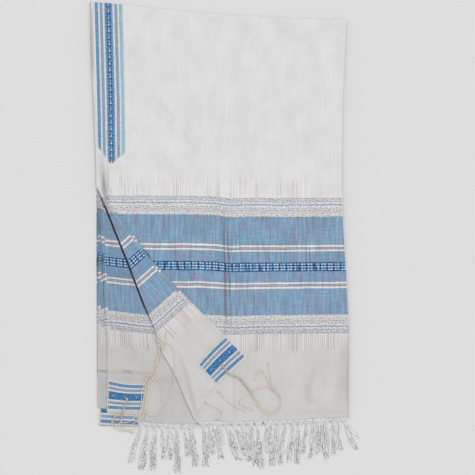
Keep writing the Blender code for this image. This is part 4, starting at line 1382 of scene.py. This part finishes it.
def copies_on_places():
    """Tree that sets a copy of a shape on each place, turned along its run."""
    if "copies_on_places" in bpy.data.node_groups:
        return bpy.data.node_groups["copies_on_places"]
    tree = Tree("copies_on_places", (("Shape", "NodeSocketObject"), ("Finish", "NodeSocketMaterial")))
    run = tree.add("GeometryNodeInputNamedAttribute", {"Name": "run"}, data_type="FLOAT_VECTOR").outputs[0]
    size = tree.add("GeometryNodeInputNamedAttribute", {"Name": "size"}, data_type="FLOAT_VECTOR").outputs[0]
    turned = tree.add("FunctionNodeAlignRotationToVector", {"Vector": run}, axis="X").outputs[0]
    shape = tree.add("GeometryNodeObjectInfo", {"Object": tree.given("Shape")}).outputs["Geometry"]
    copies = tree.add(
        "GeometryNodeInstanceOnPoints",
        {"Points": tree.given("Geometry"), "Instance": shape, "Rotation": turned, "Scale": size},
    )
    return tree.finish(copies.outputs[0])


def plain_mesh(source, tree, values, name):
    """Runs a tree on an object and keeps the result as a plain mesh."""
    modifier = source.modifiers.new("nodes", "NODES")
    modifier.node_group = tree
    for socket in tree.interface.items_tree:
        if socket.in_out == "INPUT" and socket.name in values:
            modifier[socket.identifier] = values[socket.name]
    depsgraph = bpy.context.evaluated_depsgraph_get()
    evaluated = source.evaluated_get(depsgraph)
    mesh = bpy.data.meshes.new_from_object(evaluated, preserve_all_data_layers=True, depsgraph=depsgraph)
    bpy.data.objects.remove(source)
    if not mesh.polygons:
        raise RuntimeError(f"{name} came out empty")
    mesh.name = name
    return linked(name, mesh)


def lines_object(routes):
    """Makes one curve object from several routes in millimetres."""
    data = bpy.data.curves.new("routes", "CURVE")
    data.dimensions = "3D"
    for route in routes:
        spline = data.splines.new("POLY")
        spline.points.add(len(route) - 1)
        for point, place in zip(spline.points, route):
            point.co = (*(place * MM), 1.0)
    return linked("routes", data)


def strands(routes, radius, twist, material, plies=3, spacing=1.3):
    """Makes twisted strands along routes."""
    values = {
        "Radius": radius * MM,
        "Plies": plies,
        "Twist length": twist * MM,
        "Spacing": spacing * MM,
        "Finish": material,
    }
    return plain_mesh(lines_object(routes), twisted_strands(), values, "strands")


def places_object(places, runs, sizes):
    """Makes loose points that carry the run and the size of what is set on them."""
    mesh = bpy.data.meshes.new("places")
    mesh.from_pydata([place * MM for place in places], [], [])
    for label, values in (("run", runs), ("size", sizes)):
        flat = [number for value in values for number in value]
        mesh.attributes.new(label, "FLOAT_VECTOR", "POINT").data.foreach_set("vector", flat)
    return linked("places", mesh)


def copies(places, runs, sizes, shape, material):
    """Sets copies of a shape on places, and removes the shape that they were made from."""
    values = {"Shape": shape, "Finish": material}
    made = plain_mesh(places_object(places, runs, sizes), copies_on_places(), values, "copies")
    bpy.data.objects.remove(shape)
    return made


def overhand_knot(material):
    """Small tied knot about one millimetre in radius, its strand along X."""
    points = []
    for k in range(27):
        turn = 2 * math.pi * k / 26
        reach = Vector(
            (
                -math.sin(3 * turn) * 1.1,
                math.sin(turn) + 2 * math.sin(2 * turn),
                math.cos(turn) - 2 * math.cos(2 * turn),
            )
        )
        points.append(reach * 0.30)
    return strands([points], 0.36, 4.0, material, spacing=0.32)


def stitch_shape():
    """One stitch: a small rounded bar one millimetre long along X."""
    mesh = bpy.data.meshes.new("stitch")
    body = bmesh.new()
    bmesh.ops.create_uvsphere(body, u_segments=6, v_segments=4, radius=0.5 * MM)
    body.to_mesh(mesh)
    body.free()
    return linked("stitch", mesh)


def joined(name, parts):
    """Joins several made parts into one piece."""
    body = bmesh.new()
    material = parts[0].data.materials[0]
    for part in parts:
        body.from_mesh(part.data)
    mesh = bpy.data.meshes.new(name)
    body.to_mesh(mesh)
    body.free()
    mesh.materials.clear()
    mesh.materials.append(material)
    mesh.polygons.foreach_set("material_index", [0] * len(mesh.polygons))
    mesh.shade_smooth()
    for part in parts:
        bpy.data.objects.remove(part)
    return linked(name, mesh)


class Ground:
    """What threads and stitches lie on: the highest cloth at a place, or the floor."""

    def __init__(self, names):
        depsgraph = bpy.context.evaluated_depsgraph_get()
        self.trees = [BVHTree.FromObject(bpy.data.objects[name], depsgraph) for name in names]

    def height(self, x, y):
        """Gives the height of what is under one place."""
        top = 0.0
        for tree in self.trees:
            hit = tree.ray_cast(Vector((x * MM, y * MM, 0.1)), Vector((0, 0, -1)))[0]
            if hit is not None:
                top = max(top, hit.z / MM)
        return top

    def rested(self, place, size):
        """Lifts a knot's place until the knot stands clear of what is under it."""
        clear = self.height(place.x, place.y) + KNOT_RISE * size + FLOOR_GAP
        return Vector((place.x, place.y, max(place.z, clear)))

    def laid(self, route, radius, reach=5):
        """Lays a route of x, y and lift on the ground, with its middle a radius above it."""
        raw = []
        for x, y, lift in route:
            around = ((0, 0), (radius, 0), (-radius, 0), (0, radius), (0, -radius))
            top = max(self.height(x + dx, y + dy) for dx, dy in around)
            raw.append(max(top + LAY_GAP, FLOOR_GAP) + radius + lift)
        high = [max(raw[max(0, k - reach) : k + reach + 1]) for k in range(len(raw))]
        made = []
        for k, place in enumerate(route):
            around = high[max(0, k - reach) : k + reach + 1]
            made.append(Vector((place[0], place[1], max(raw[k], sum(around) / len(around)))))
        return made


CLOTH_PIECES = ("lowest_cloth", "third_cloth", "second_cloth", "front_cloth")
RIBBON_PIECES = ("neckband_ribbon", "turned_corner_patch", "second_layer_patch", "lowest_layer_patch")


def make_cloth(settings):
    """Makes the four stretches of the folded cloth."""
    material = finishes(settings)["striped_silk"]
    third_line = straight_stripes(*THIRD_STRIPES)
    fourth = hidden_stretch(
        FOURTH_LEFT,
        FOURTH_HEM,
        mid=FOURTH_MID,
        droop=FOURTH_DROOP,
        creases=NO_CREASES,
        seed=4.0,
        stripes=third_line,
        cover=lambda y: (THIRD_LEFT[-1][0], *FOURTH_EDGE_SHADE),
        roll_top=OUTER_ROLL,
        roll_right=LOW_PAIR_ROLL,
        painted_shades=NO_CREASES,
        jog=0.0,
        dim=FOURTH_DIM,
    )
    third = hidden_stretch(
        THIRD_LEFT,
        THIRD_HEM,
        mid=THIRD_MID,
        droop=THIRD_DROOP,
        creases=SECOND_CREASES,
        seed=3.0,
        stripes=third_line,
        cover=lambda y: (along(SECOND_LEFT, at_height(SECOND_LEFT, y, 1))[0], *read_at(SECOND_EDGE_SHADES, y)),
        roll_top=INNER_ROLL + FOLD_SETBACK,
        roll_right=LOW_PAIR_ROLL,
        painted_shades=THIRD_PAINTED_SHADES,
        jog=THIRD_HEM_JOG,
        dim=THIRD_DIM,
    )
    second = hidden_stretch(
        SECOND_LEFT,
        SECOND_HEM,
        mid=SECOND_MID,
        droop=TOP_DROOP,
        creases=SECOND_CREASES,
        seed=2.5,
        stripes=straight_stripes(*SECOND_STRIPES),
        cover=lambda y: (front_left(y), *read_at(FOLD_SHADES, y)),
        roll_top=INNER_ROLL + FOLD_SETBACK,
        roll_right=PAIR_ROLL,
        painted_shades=SECOND_PAINTED_SHADES,
        jog=HEM_JOG,
        dim=SECOND_DIM,
    )
    lowest = cloth_piece("lowest_cloth", [fourth], material)
    middle = cloth_piece("third_cloth", [third], material)
    upper = cloth_piece("second_cloth", [second], material)
    front = cloth_piece("front_cloth", [front_stretch(), corner_stretch()], material)
    belongs(lowest, "shawl_cloth", "under_layers")
    belongs(middle, "shawl_cloth", "under_layers")
    belongs(upper, "shawl_cloth", "second_layer")
    belongs(front, "shawl_cloth", "front_panel", "turned_corner")


def ribbon_piece(name, rows, cloth, material):
    """Makes a wall of ribbon from rows of x, y, ribbon place and end mark, on its own cloth."""
    ground = Ground([cloth])
    level = max(ground.height(place[0], place[1]) for row in rows for place in row)
    stretch = Stretch()
    for row in rows:
        made = []
        for x, y, across, run, mark in row:
            # Past its cloth's edge the ribbon stays level
            height = (ground.height(x, y) or level) + RIBBON_SHELL / 2 + RIBBON_LIFT
            made.append((x, y, height, across, run, 0.0, mark, RIBBON_SHELL))
        stretch.add_row(made)
    return cloth_piece(name, [stretch], material)


def make_neckband(settings):
    """Makes the ribbon neckband on the front cloth's left edge."""
    rows = []
    top, foot = NECKBAND_ROWS[0][1], NECKBAND_ROWS[-1][1]
    for y in steps(top, foot, 3.0):
        left_x, left_y, right_x, right_y = along(NECKBAND_ROWS, at_height(NECKBAND_ROWS, y, 1))
        full_left, full_right = read_at(NECKBAND_BLUE, y)
        row = []
        for share in [k / 48 for k in range(49)]:
            x = left_x + (right_x - left_x) * share
            across = (x - full_left) / (full_right - full_left) * RIBBON_WIDTH
            row.append((x, left_y + (right_y - left_y) * share, across, top - y, 0.0))
        rows.append(row)
    band = ribbon_piece("neckband_ribbon", rows, "front_cloth", finishes(settings)["neckband_ribbon"])
    belongs(band, "neckband_cloth", "neckband")


def patch_rows(corners, shown, sag):
    """Gives the rows of a patch with its pale margin; its stripes sag a little on the way."""
    first_start, first_end, last_end, last_start = (Vector(c) for c in corners)
    long_side = (first_end - first_start).length
    short_side = (last_start - first_start).length
    margin_long, margin_short = PATCH_MARGIN / long_side, PATCH_MARGIN / short_side
    rows = []
    for t in [-margin_long] + [k / 26 for k in range(27)] + [1 + margin_long]:
        row = []
        before = [-margin_short] if shown[0] == 0 else []
        for s in before + [k / 22 for k in range(23)] + [1 + margin_short]:
            place = first_start.lerp(first_end, t).lerp(last_start.lerp(last_end, t), s)
            dip = sag * math.sin(math.pi * min(max(t, 0), 1)) * (1 - 0.7 * s)
            place += (last_start - first_start).normalized() * dip
            across = shown[0] + (shown[1] - shown[0]) * s
            row.append((place.x, place.y, across, t * long_side, 0.0 if 0 <= t <= 1 else 1.0))
        rows.append(row)
    return rows


def make_patches(settings):
    """Makes the three corner patches that show."""
    material = finishes(settings)["patch_ribbon"]
    for (node, cloth, corners, shown, sag), name in zip(PATCHES, RIBBON_PIECES[1:]):
        piece = ribbon_piece(name, patch_rows(corners, shown, sag), cloth, material)
        belongs(piece, "patch_cloth", node)


def hem_of_front(x):
    """Gives the y of the front cloth's hem at x."""
    left, _, right = front_edges(FRONT_ROWS[-1][1])
    share = (x - left.x) / (right.x - left.x)
    return left.y + (right.y - left.y) * share - 4 * share * (1 - share) * HEM_BOW


def hem_of_second(x):
    """Gives the y of the second stretch's hem at x."""
    return read_at(SECOND_HEM, x)[0]


def wandering(start, end, sway, seed, count):
    """Gives a route from start to end that sways to the side and curls a little."""
    run = end - start
    side = Vector((-run.y, run.x)).normalized()
    made = []
    for t in [step / count for step in range(count + 1)]:
        curl = 1.1 * math.sin(7 * t + seed) + 0.7 * math.sin(15 * t + 1.7 * seed)
        place = start.lerp(end, t) + side * (sway * math.sin(math.pi * t) + curl * smooth(t * 4))
        made.append((place.x, place.y, 0.0))
    return made


def fringe_routes(tassels, hem, ground, chance):
    """Gives a fringe's strands, its fine threads, and its knots with their sizes."""
    hanging, fine, fans, knots = [], [], [], []
    for root_x, tip_x, tip_y, sway, count in tassels:
        knot = Vector((root_x, hem(root_x) - KNOT_DEPTH))
        for k in range(count):
            offset = (k - (count - 1) / 2) * STRAND_PITCH
            start = Vector((root_x + offset * 0.5, knot.y + 1.0))
            end_y = tip_y + STRAND_STAGGER * (k % 2) + TUFT_LENGTH * 0.6
            end = Vector((tip_x + offset * STRAND_SPREAD, end_y))
            bend = sway + chance.uniform(-1.5, 1.5)
            strand = ground.laid(wandering(start, end, bend, 2.1 * k + root_x, 34), STRAND_RADIUS, 4)
            hanging.append(strand)
            knots.append((strand[-2], strand[-1] - strand[-4], 1.55 + chance.uniform(-0.15, 0.3)))
            run = (end - Vector(strand[-6][:2])).normalized()
            for _ in range(TUFT_THREADS):
                turn = chance.uniform(-0.55, 0.55)
                aside = Vector((run.x - run.y * turn, run.y + run.x * turn))
                spray = aside * TUFT_LENGTH * chance.uniform(0.55, 0.95)
                tuft = [tuple(p) + (0.0,) for p in (end, end + spray * 0.5, end + spray)]
                fine.append(ground.laid([tuple(p) for p in curve(tuft, 1.5)], LOOSE_RADIUS, 1))
        for k in range(LOOSE_THREADS):
            end = Vector((tip_x + chance.uniform(-9, 9), tip_y + chance.uniform(2, 30)))
            start = knot + Vector((chance.uniform(-1.5, 1.5), 0))
            route = wandering(start, end, chance.uniform(-5, 5), 3.3 * k + tip_x, 26)
            fine.append(ground.laid(route, LOOSE_RADIUS, 2))
        for k in range(FAN_THREADS):
            spread = (k / (FAN_THREADS - 1) - 0.5) * 2 * FAN_REACH
            x = root_x + spread + chance.uniform(-0.8, 0.8)
            start = (x, hem(x) + chance.uniform(1.0, 4.5), 0.0)
            middle = (root_x + spread * 0.8, hem(root_x) - KNOT_DEPTH * 0.45, 0.0)
            end = (knot.x + spread * 0.15 + chance.uniform(-0.5, 0.5), knot.y - 2 - chance.uniform(0, 5), 0.0)
            fans.append(ground.laid([tuple(p) for p in curve([start, middle, end], 1.6)], FAN_RADIUS, 2))
        first = hanging[-count][1].lerp(hanging[-1][1], 0.5)
        knots.append((first, Vector((0, -1, 0)), 1.5 + 0.3 * count))
    return hanging, fine, fans, knots


def tied_knots(knots, along_strand, ground, material):
    """Ties a knot on each place, its length along the strand given as a share of its size."""
    places = [ground.rested(place, size) for place, _, size in knots]
    runs = [run.normalized() for _, run, _ in knots]
    sizes = [Vector((size * along_strand, size, size * KNOT_FLATNESS)) for _, _, size in knots]
    return copies(places, runs, sizes, overhand_knot(material), material)


def tied_fringe(name, parts, ground, material, radius=STRAND_RADIUS):
    """Makes one fringe from its strands, fine threads, fans and knots."""
    hanging, fine, fans, knots = parts
    made = [strands(hanging, radius, 6.0, material, plies=4, spacing=1.5)]
    if fine:
        made.append(strands(fine, LOOSE_RADIUS, 5.0, material, plies=2, spacing=2.2))
        made.append(strands(fans, FAN_RADIUS, 7.0, material, plies=3, spacing=1.8))
    made.append(tied_knots(knots, 1.0, ground, material))
    return joined(name, made)


def make_fringe(settings):
    """Makes the tied fringes of the three hems that show."""
    material = finishes(settings)["fringe_yarn"]
    ground = Ground(CLOTH_PIECES + RIBBON_PIECES)
    chance = random.Random(settings.seed)
    front = fringe_routes(FRINGE_FRONT, hem_of_front, ground, chance)
    belongs(tied_fringe("front_fringe", front, ground, material), "fringe_thread", "fringe_front")
    second = fringe_routes(FRINGE_SECOND, hem_of_second, ground, chance)
    belongs(tied_fringe("second_fringe", second, ground, material), "fringe_thread", "fringe_second_layer")
    hanging, knots = [], []
    for tassel in CORNER_TASSELS:
        route = [(p.x, p.y, 0.0) for p in curve([Vector((x, y)) for x, y in tassel], 2.0)]
        strand = ground.laid(route, CORNER_CORD_RADIUS, 3)
        hanging.append(strand)
        knots.append((strand[-1], strand[-1] - strand[-3], 1.5))
        knots.append((strand[2], strand[3] - strand[1], 1.9))
    yarn = finishes(settings)["corner_yarn"]
    corner = tied_fringe("corner_fringe", (hanging, [], [], knots), ground, yarn, CORNER_CORD_RADIUS)
    belongs(corner, "fringe_thread", "fringe_turned_corner")


def tassel(name, node, head, threads, settings):
    """Makes one corner tassel: core, windings and knots of its head, and its free threads."""
    material = finishes(settings)["tassel_yarn"]
    ground = Ground(CLOTH_PIECES + RIBBON_PIECES)
    outer = CORE_RADIUS + 2 * WINDING_RADIUS
    spine = ground.laid([tuple(p) for p in curve(head, 1.5)], outer)
    winding = []
    travelled = 0.0
    for before, place in zip(spine, spine[1:]):
        run = place - before
        side = Vector((-run.y, run.x, 0)).normalized()
        up = run.cross(side).normalized()
        pieces = max(1, round(run.length / WINDING_PITCH * 12))
        for k in range(pieces):
            turn = 2 * math.pi * (travelled + run.length * k / pieces) / WINDING_PITCH
            reach = side * math.cos(turn) + up * math.sin(turn)
            winding.append(before + run * k / pieces + reach * (CORE_RADIUS + WINDING_RADIUS * 0.7))
        travelled += run.length
    routes = []
    for thread in threads:
        route = [tuple(p) for p in curve(thread, 2.0)]
        routes.append(ground.laid(route, THREAD_RADIUS))
    made = [
        strands([spine], CORE_RADIUS, 8.0, material),
        strands([winding], WINDING_RADIUS, 3.0, material, plies=2, spacing=0.7),
        strands(routes, THREAD_RADIUS, 6.0, material, plies=2, spacing=1.2),
    ]
    knots = []
    count = max(2, min(HEAD_KNOTS, len(spine) // 9))
    for k in range(count):
        at = min(round(k * (len(spine) - 1) / (count - 1)), len(spine) - 2)
        knots.append((spine[at], spine[at + 1] - spine[at], HEAD_KNOT_SIZE))
    for route in routes:
        knots.append((route[-1], route[-1] - route[-3], 1.5))
    made.append(tied_knots(knots, HEAD_KNOT_LENGTH, ground, material))
    belongs(joined(name, made), "tassel_thread", node)


def make_tassels(settings):
    """Makes the three corner tassels that show."""
    tassel("turned_corner_tassel", "tassel_turned_corner", HEAD_TURNED, THREADS_TURNED, settings)
    tassel("second_layer_tassel", "tassel_second_layer", HEAD_SECOND, THREADS_SECOND, settings)
    tassel("lowest_layer_tassel", "tassel_lowest_layer", HEAD_LOWEST, THREADS_LOWEST, settings)


def stitch_line(line, settings, ground, zigzag=0.0):
    """Gives the stitches along a line of places: straight, or zigzag to both sides."""
    places, runs = [], []
    pitch = settings.stitch_length * STITCH_PITCH / MM
    spare = 0.0
    turn = 1
    for start, end in zip(line, line[1:]):
        run = end - start
        side = Vector((-run.y, run.x)).normalized() * zigzag
        while spare < run.length:
            at = start + run * spare / run.length
            direction = run.normalized() + (side.normalized() * turn if zigzag else Vector((0, 0)))
            height = ground.height(at.x, at.y)
            if height > 0:
                places.append(Vector((at.x, at.y, height)))
                runs.append(Vector((direction.x, direction.y, 0)).normalized())
            turn = -turn
            spare += pitch
        spare -= run.length
    return places, runs


def sew(name, lines, thickness, settings, ground):
    """Sews along lines of places, each with its zigzag width, and keeps the stitches as one piece."""
    places, runs = [], []
    for line, zigzag in lines:
        more_places, more_runs = stitch_line(line, settings, ground, zigzag)
        places += more_places
        runs += more_runs
    sizes = [Vector((settings.stitch_length / MM, thickness, thickness))] * len(places)
    seams = copies(places, runs, sizes, stitch_shape(), finishes(settings)["stitch_yarn"])
    seams.name = name
    belongs(seams, "fringe_thread")


def make_stitches(settings):
    """Sews the hems, the neckband and the patches."""
    ground = Ground(CLOTH_PIECES + RIBBON_PIECES)
    inset = HEM_WIDTH - HEM_STITCH_INSET
    selvedge = [front_edges(y)[0] + Vector((inset, 0)) for y in steps(150, APEX_Y + 6, 12)]
    front_hem = [Vector((x, hem_of_front(x) + inset)) for x in steps(-50, 262, 12)]
    free_edge = []
    for v in steps(0.06, 1.0, 0.04):
        fold, free = corner_place(0, v), corner_place(1, v)
        free_edge.append(free + (fold - free).normalized() * inset)
    corner_hem = [corner_place(u, 0.99) for u in steps(0.04, 0.98, 0.08)]
    second_edge = [Vector(along(SECOND_LEFT, t)) + Vector((inset, 0)) for t in steps(0.45, 1.0, 0.05)]
    hems = [(line, 0.0) for line in (selvedge, front_hem, free_edge, corner_hem, second_edge)]
    sew("hem_stitches", hems, HEM_STITCH_THICKNESS, settings, ground)
    seams = []
    for _, _, corners, _, _ in PATCHES:
        middle = sum((Vector(c) for c in corners), Vector((0, 0))) / 4
        loop = [middle + (Vector(c) - middle) * PATCH_SEAM_REACH for c in corners]
        seams.append((loop + loop[:1], PATCH_ZIGZAG))
    rows = [along(NECKBAND_ROWS, t) for t in steps(0.02, 1.0, 0.08)]
    left = [Vector((row[0] + NECKBAND_STITCH_INSET, row[1])) for row in rows]
    right = [Vector((row[2] - NECKBAND_STITCH_INSET, row[3])) for row in reversed(rows)]
    seams.append((left + right, 0.0))
    sew("ribbon_stitches", seams, RIBBON_STITCH_THICKNESS, settings, ground)


def make_stage(settings):
    """Makes the floor, the lights and the camera straight above."""
    mesh = bpy.data.meshes.new("floor")
    reach = FLOOR_REACH
    corners = [(-reach, -reach, 0), (reach, -reach, 0), (reach, reach, 0), (-reach, reach, 0)]
    mesh.from_pydata(corners, [], [(0, 1, 2, 3)])
    mesh.materials.append(plain_floor())
    floor = linked("floor", mesh)
    floor.location.z = -FLOOR_DROP
    world = bpy.data.worlds.new("soft_room")
    world.use_nodes = True
    world.node_tree.nodes["Background"].inputs["Strength"].default_value = settings.room_light
    world.node_tree.nodes["Background"].inputs["Color"].default_value = (1.0, 1.0, 1.0, 1.0)
    bpy.context.scene.world = world
    lamp = bpy.data.lights.new("key", "SUN")
    lamp.angle = math.radians(22)
    lamp.energy = settings.key_light
    key = linked("key", lamp)
    key.location = Vector((1.1, 1.0, 2.2))
    key.rotation_euler = (-key.location).to_track_quat("-Z", "Y").to_euler()
    camera_data = bpy.data.cameras.new("camera")
    camera_data.lens = settings.lens
    camera_data.sensor_width = 36.0
    camera = linked("camera", camera_data)
    width = PICTURE_WIDTH * settings.pixel_size
    distance = width * settings.lens / camera_data.sensor_width
    middle_x, middle_y = (part * settings.pixel_size for part in PICTURE_MIDDLE)
    camera.location = Vector((middle_x, middle_y, distance + FRONT_MID * MM))
    bpy.context.scene.camera = camera
    bpy.context.scene.view_settings.view_transform = "Standard"


class ShawlSettings(bpy.types.PropertyGroup):
    """Sizes and looks of the shawl that a user may change."""

    silk_sheen: FloatProperty(
        name="Silk sheen", description="Soft gloss of the silk", default=0.15, min=0.0, max=1.0
    )
    weave_pitch: FloatProperty(
        name="Weave pitch", description="Distance between threads, in millimetres", default=0.8, min=0.2
    )
    lower_shade: FloatProperty(
        name="Lower shade", description="Brightness of the cloth below its border", default=0.85, max=1.0
    )
    rib_gleam: FloatProperty(
        name="Rib gleam", description="Extra brightness between the drawn threads", default=0.085
    )
    patch_depth: FloatProperty(
        name="Patch depth", description="Brightness of the patches' blues", default=0.95, max=1.0
    )
    stitch_length: FloatProperty(
        name="Stitch length", description="Length of one stitch", default=0.0024, unit="LENGTH"
    )
    seed: IntProperty(name="Seed", description="Start of the fringe's small variations", default=7)
    room_light: FloatProperty(name="Room light", description="Strength of the light all round", default=0.70)
    key_light: FloatProperty(name="Key light", description="Strength of the lamp", default=0.78)
    lens: FloatProperty(name="Lens", description="Focal length, in millimetres", default=85.0)
    pixel_size: FloatProperty(
        name="Pixel size",
        description="Length on the shawl of one pixel",
        default=0.00217,
        unit="LENGTH",
        precision=5,
    )


class SHAWL_OT_cloth(bpy.types.Operator):
    """Makes the four stretches of folded silk"""

    bl_idname = "shawl.cloth"
    bl_label = "Cloth"

    def execute(self, context):
        make_cloth(context.scene.shawl)
        return {"FINISHED"}


class SHAWL_OT_neckband(bpy.types.Operator):
    """Makes the ribbon neckband"""

    bl_idname = "shawl.neckband"
    bl_label = "Neckband"

    def execute(self, context):
        make_neckband(context.scene.shawl)
        return {"FINISHED"}


class SHAWL_OT_patches(bpy.types.Operator):
    """Makes the corner patches"""

    bl_idname = "shawl.patches"
    bl_label = "Corner patches"

    def execute(self, context):
        make_patches(context.scene.shawl)
        return {"FINISHED"}


class SHAWL_OT_fringe(bpy.types.Operator):
    """Makes the tied fringes"""

    bl_idname = "shawl.fringe"
    bl_label = "Fringe"

    def execute(self, context):
        make_fringe(context.scene.shawl)
        return {"FINISHED"}


class SHAWL_OT_tassels(bpy.types.Operator):
    """Makes the wound corner tassels"""

    bl_idname = "shawl.tassels"
    bl_label = "Corner tassels"

    def execute(self, context):
        make_tassels(context.scene.shawl)
        return {"FINISHED"}


class SHAWL_OT_stitches(bpy.types.Operator):
    """Sews the hems, the neckband and the patches"""

    bl_idname = "shawl.stitches"
    bl_label = "Stitches"

    def execute(self, context):
        make_stitches(context.scene.shawl)
        return {"FINISHED"}


class SHAWL_OT_stage(bpy.types.Operator):
    """Makes the floor, the lights and the camera"""

    bl_idname = "shawl.stage"
    bl_label = "Stage"

    def execute(self, context):
        make_stage(context.scene.shawl)
        return {"FINISHED"}


OPERATORS = (
    SHAWL_OT_cloth,
    SHAWL_OT_neckband,
    SHAWL_OT_patches,
    SHAWL_OT_fringe,
    SHAWL_OT_tassels,
    SHAWL_OT_stitches,
    SHAWL_OT_stage,
)


class SHAWL_PT_panel(bpy.types.Panel):
    """Lists the shawl's settings and pieces"""

    bl_idname = "SHAWL_PT_panel"
    bl_label = "Prayer shawl"
    bl_space_type = "VIEW_3D"
    bl_region_type = "UI"
    bl_category = "Shawl"

    def draw(self, context):
        column = self.layout.column()
        for name in ShawlSettings.__annotations__:
            column.prop(context.scene.shawl, name)
        for operator in OPERATORS:
            column.operator(operator.bl_idname)


CLASSES = (ShawlSettings, *OPERATORS, SHAWL_PT_panel)


def register():
    """Registers the settings, the operators and the panel."""
    for item in CLASSES:
        bpy.utils.register_class(item)
    bpy.types.Scene.shawl = PointerProperty(type=ShawlSettings)


def unregister():
    """Takes everything out again."""
    del bpy.types.Scene.shawl
    for item in reversed(CLASSES):
        bpy.utils.unregister_class(item)


def main():
    """Makes the whole dressed shawl."""
    register()
    bpy.ops.shawl.cloth()
    bpy.ops.shawl.neckband()
    bpy.ops.shawl.patches()
    bpy.ops.shawl.fringe()
    bpy.ops.shawl.tassels()
    bpy.ops.shawl.stitches()
    bpy.ops.shawl.stage()


if __name__ == "__main__":
    main()
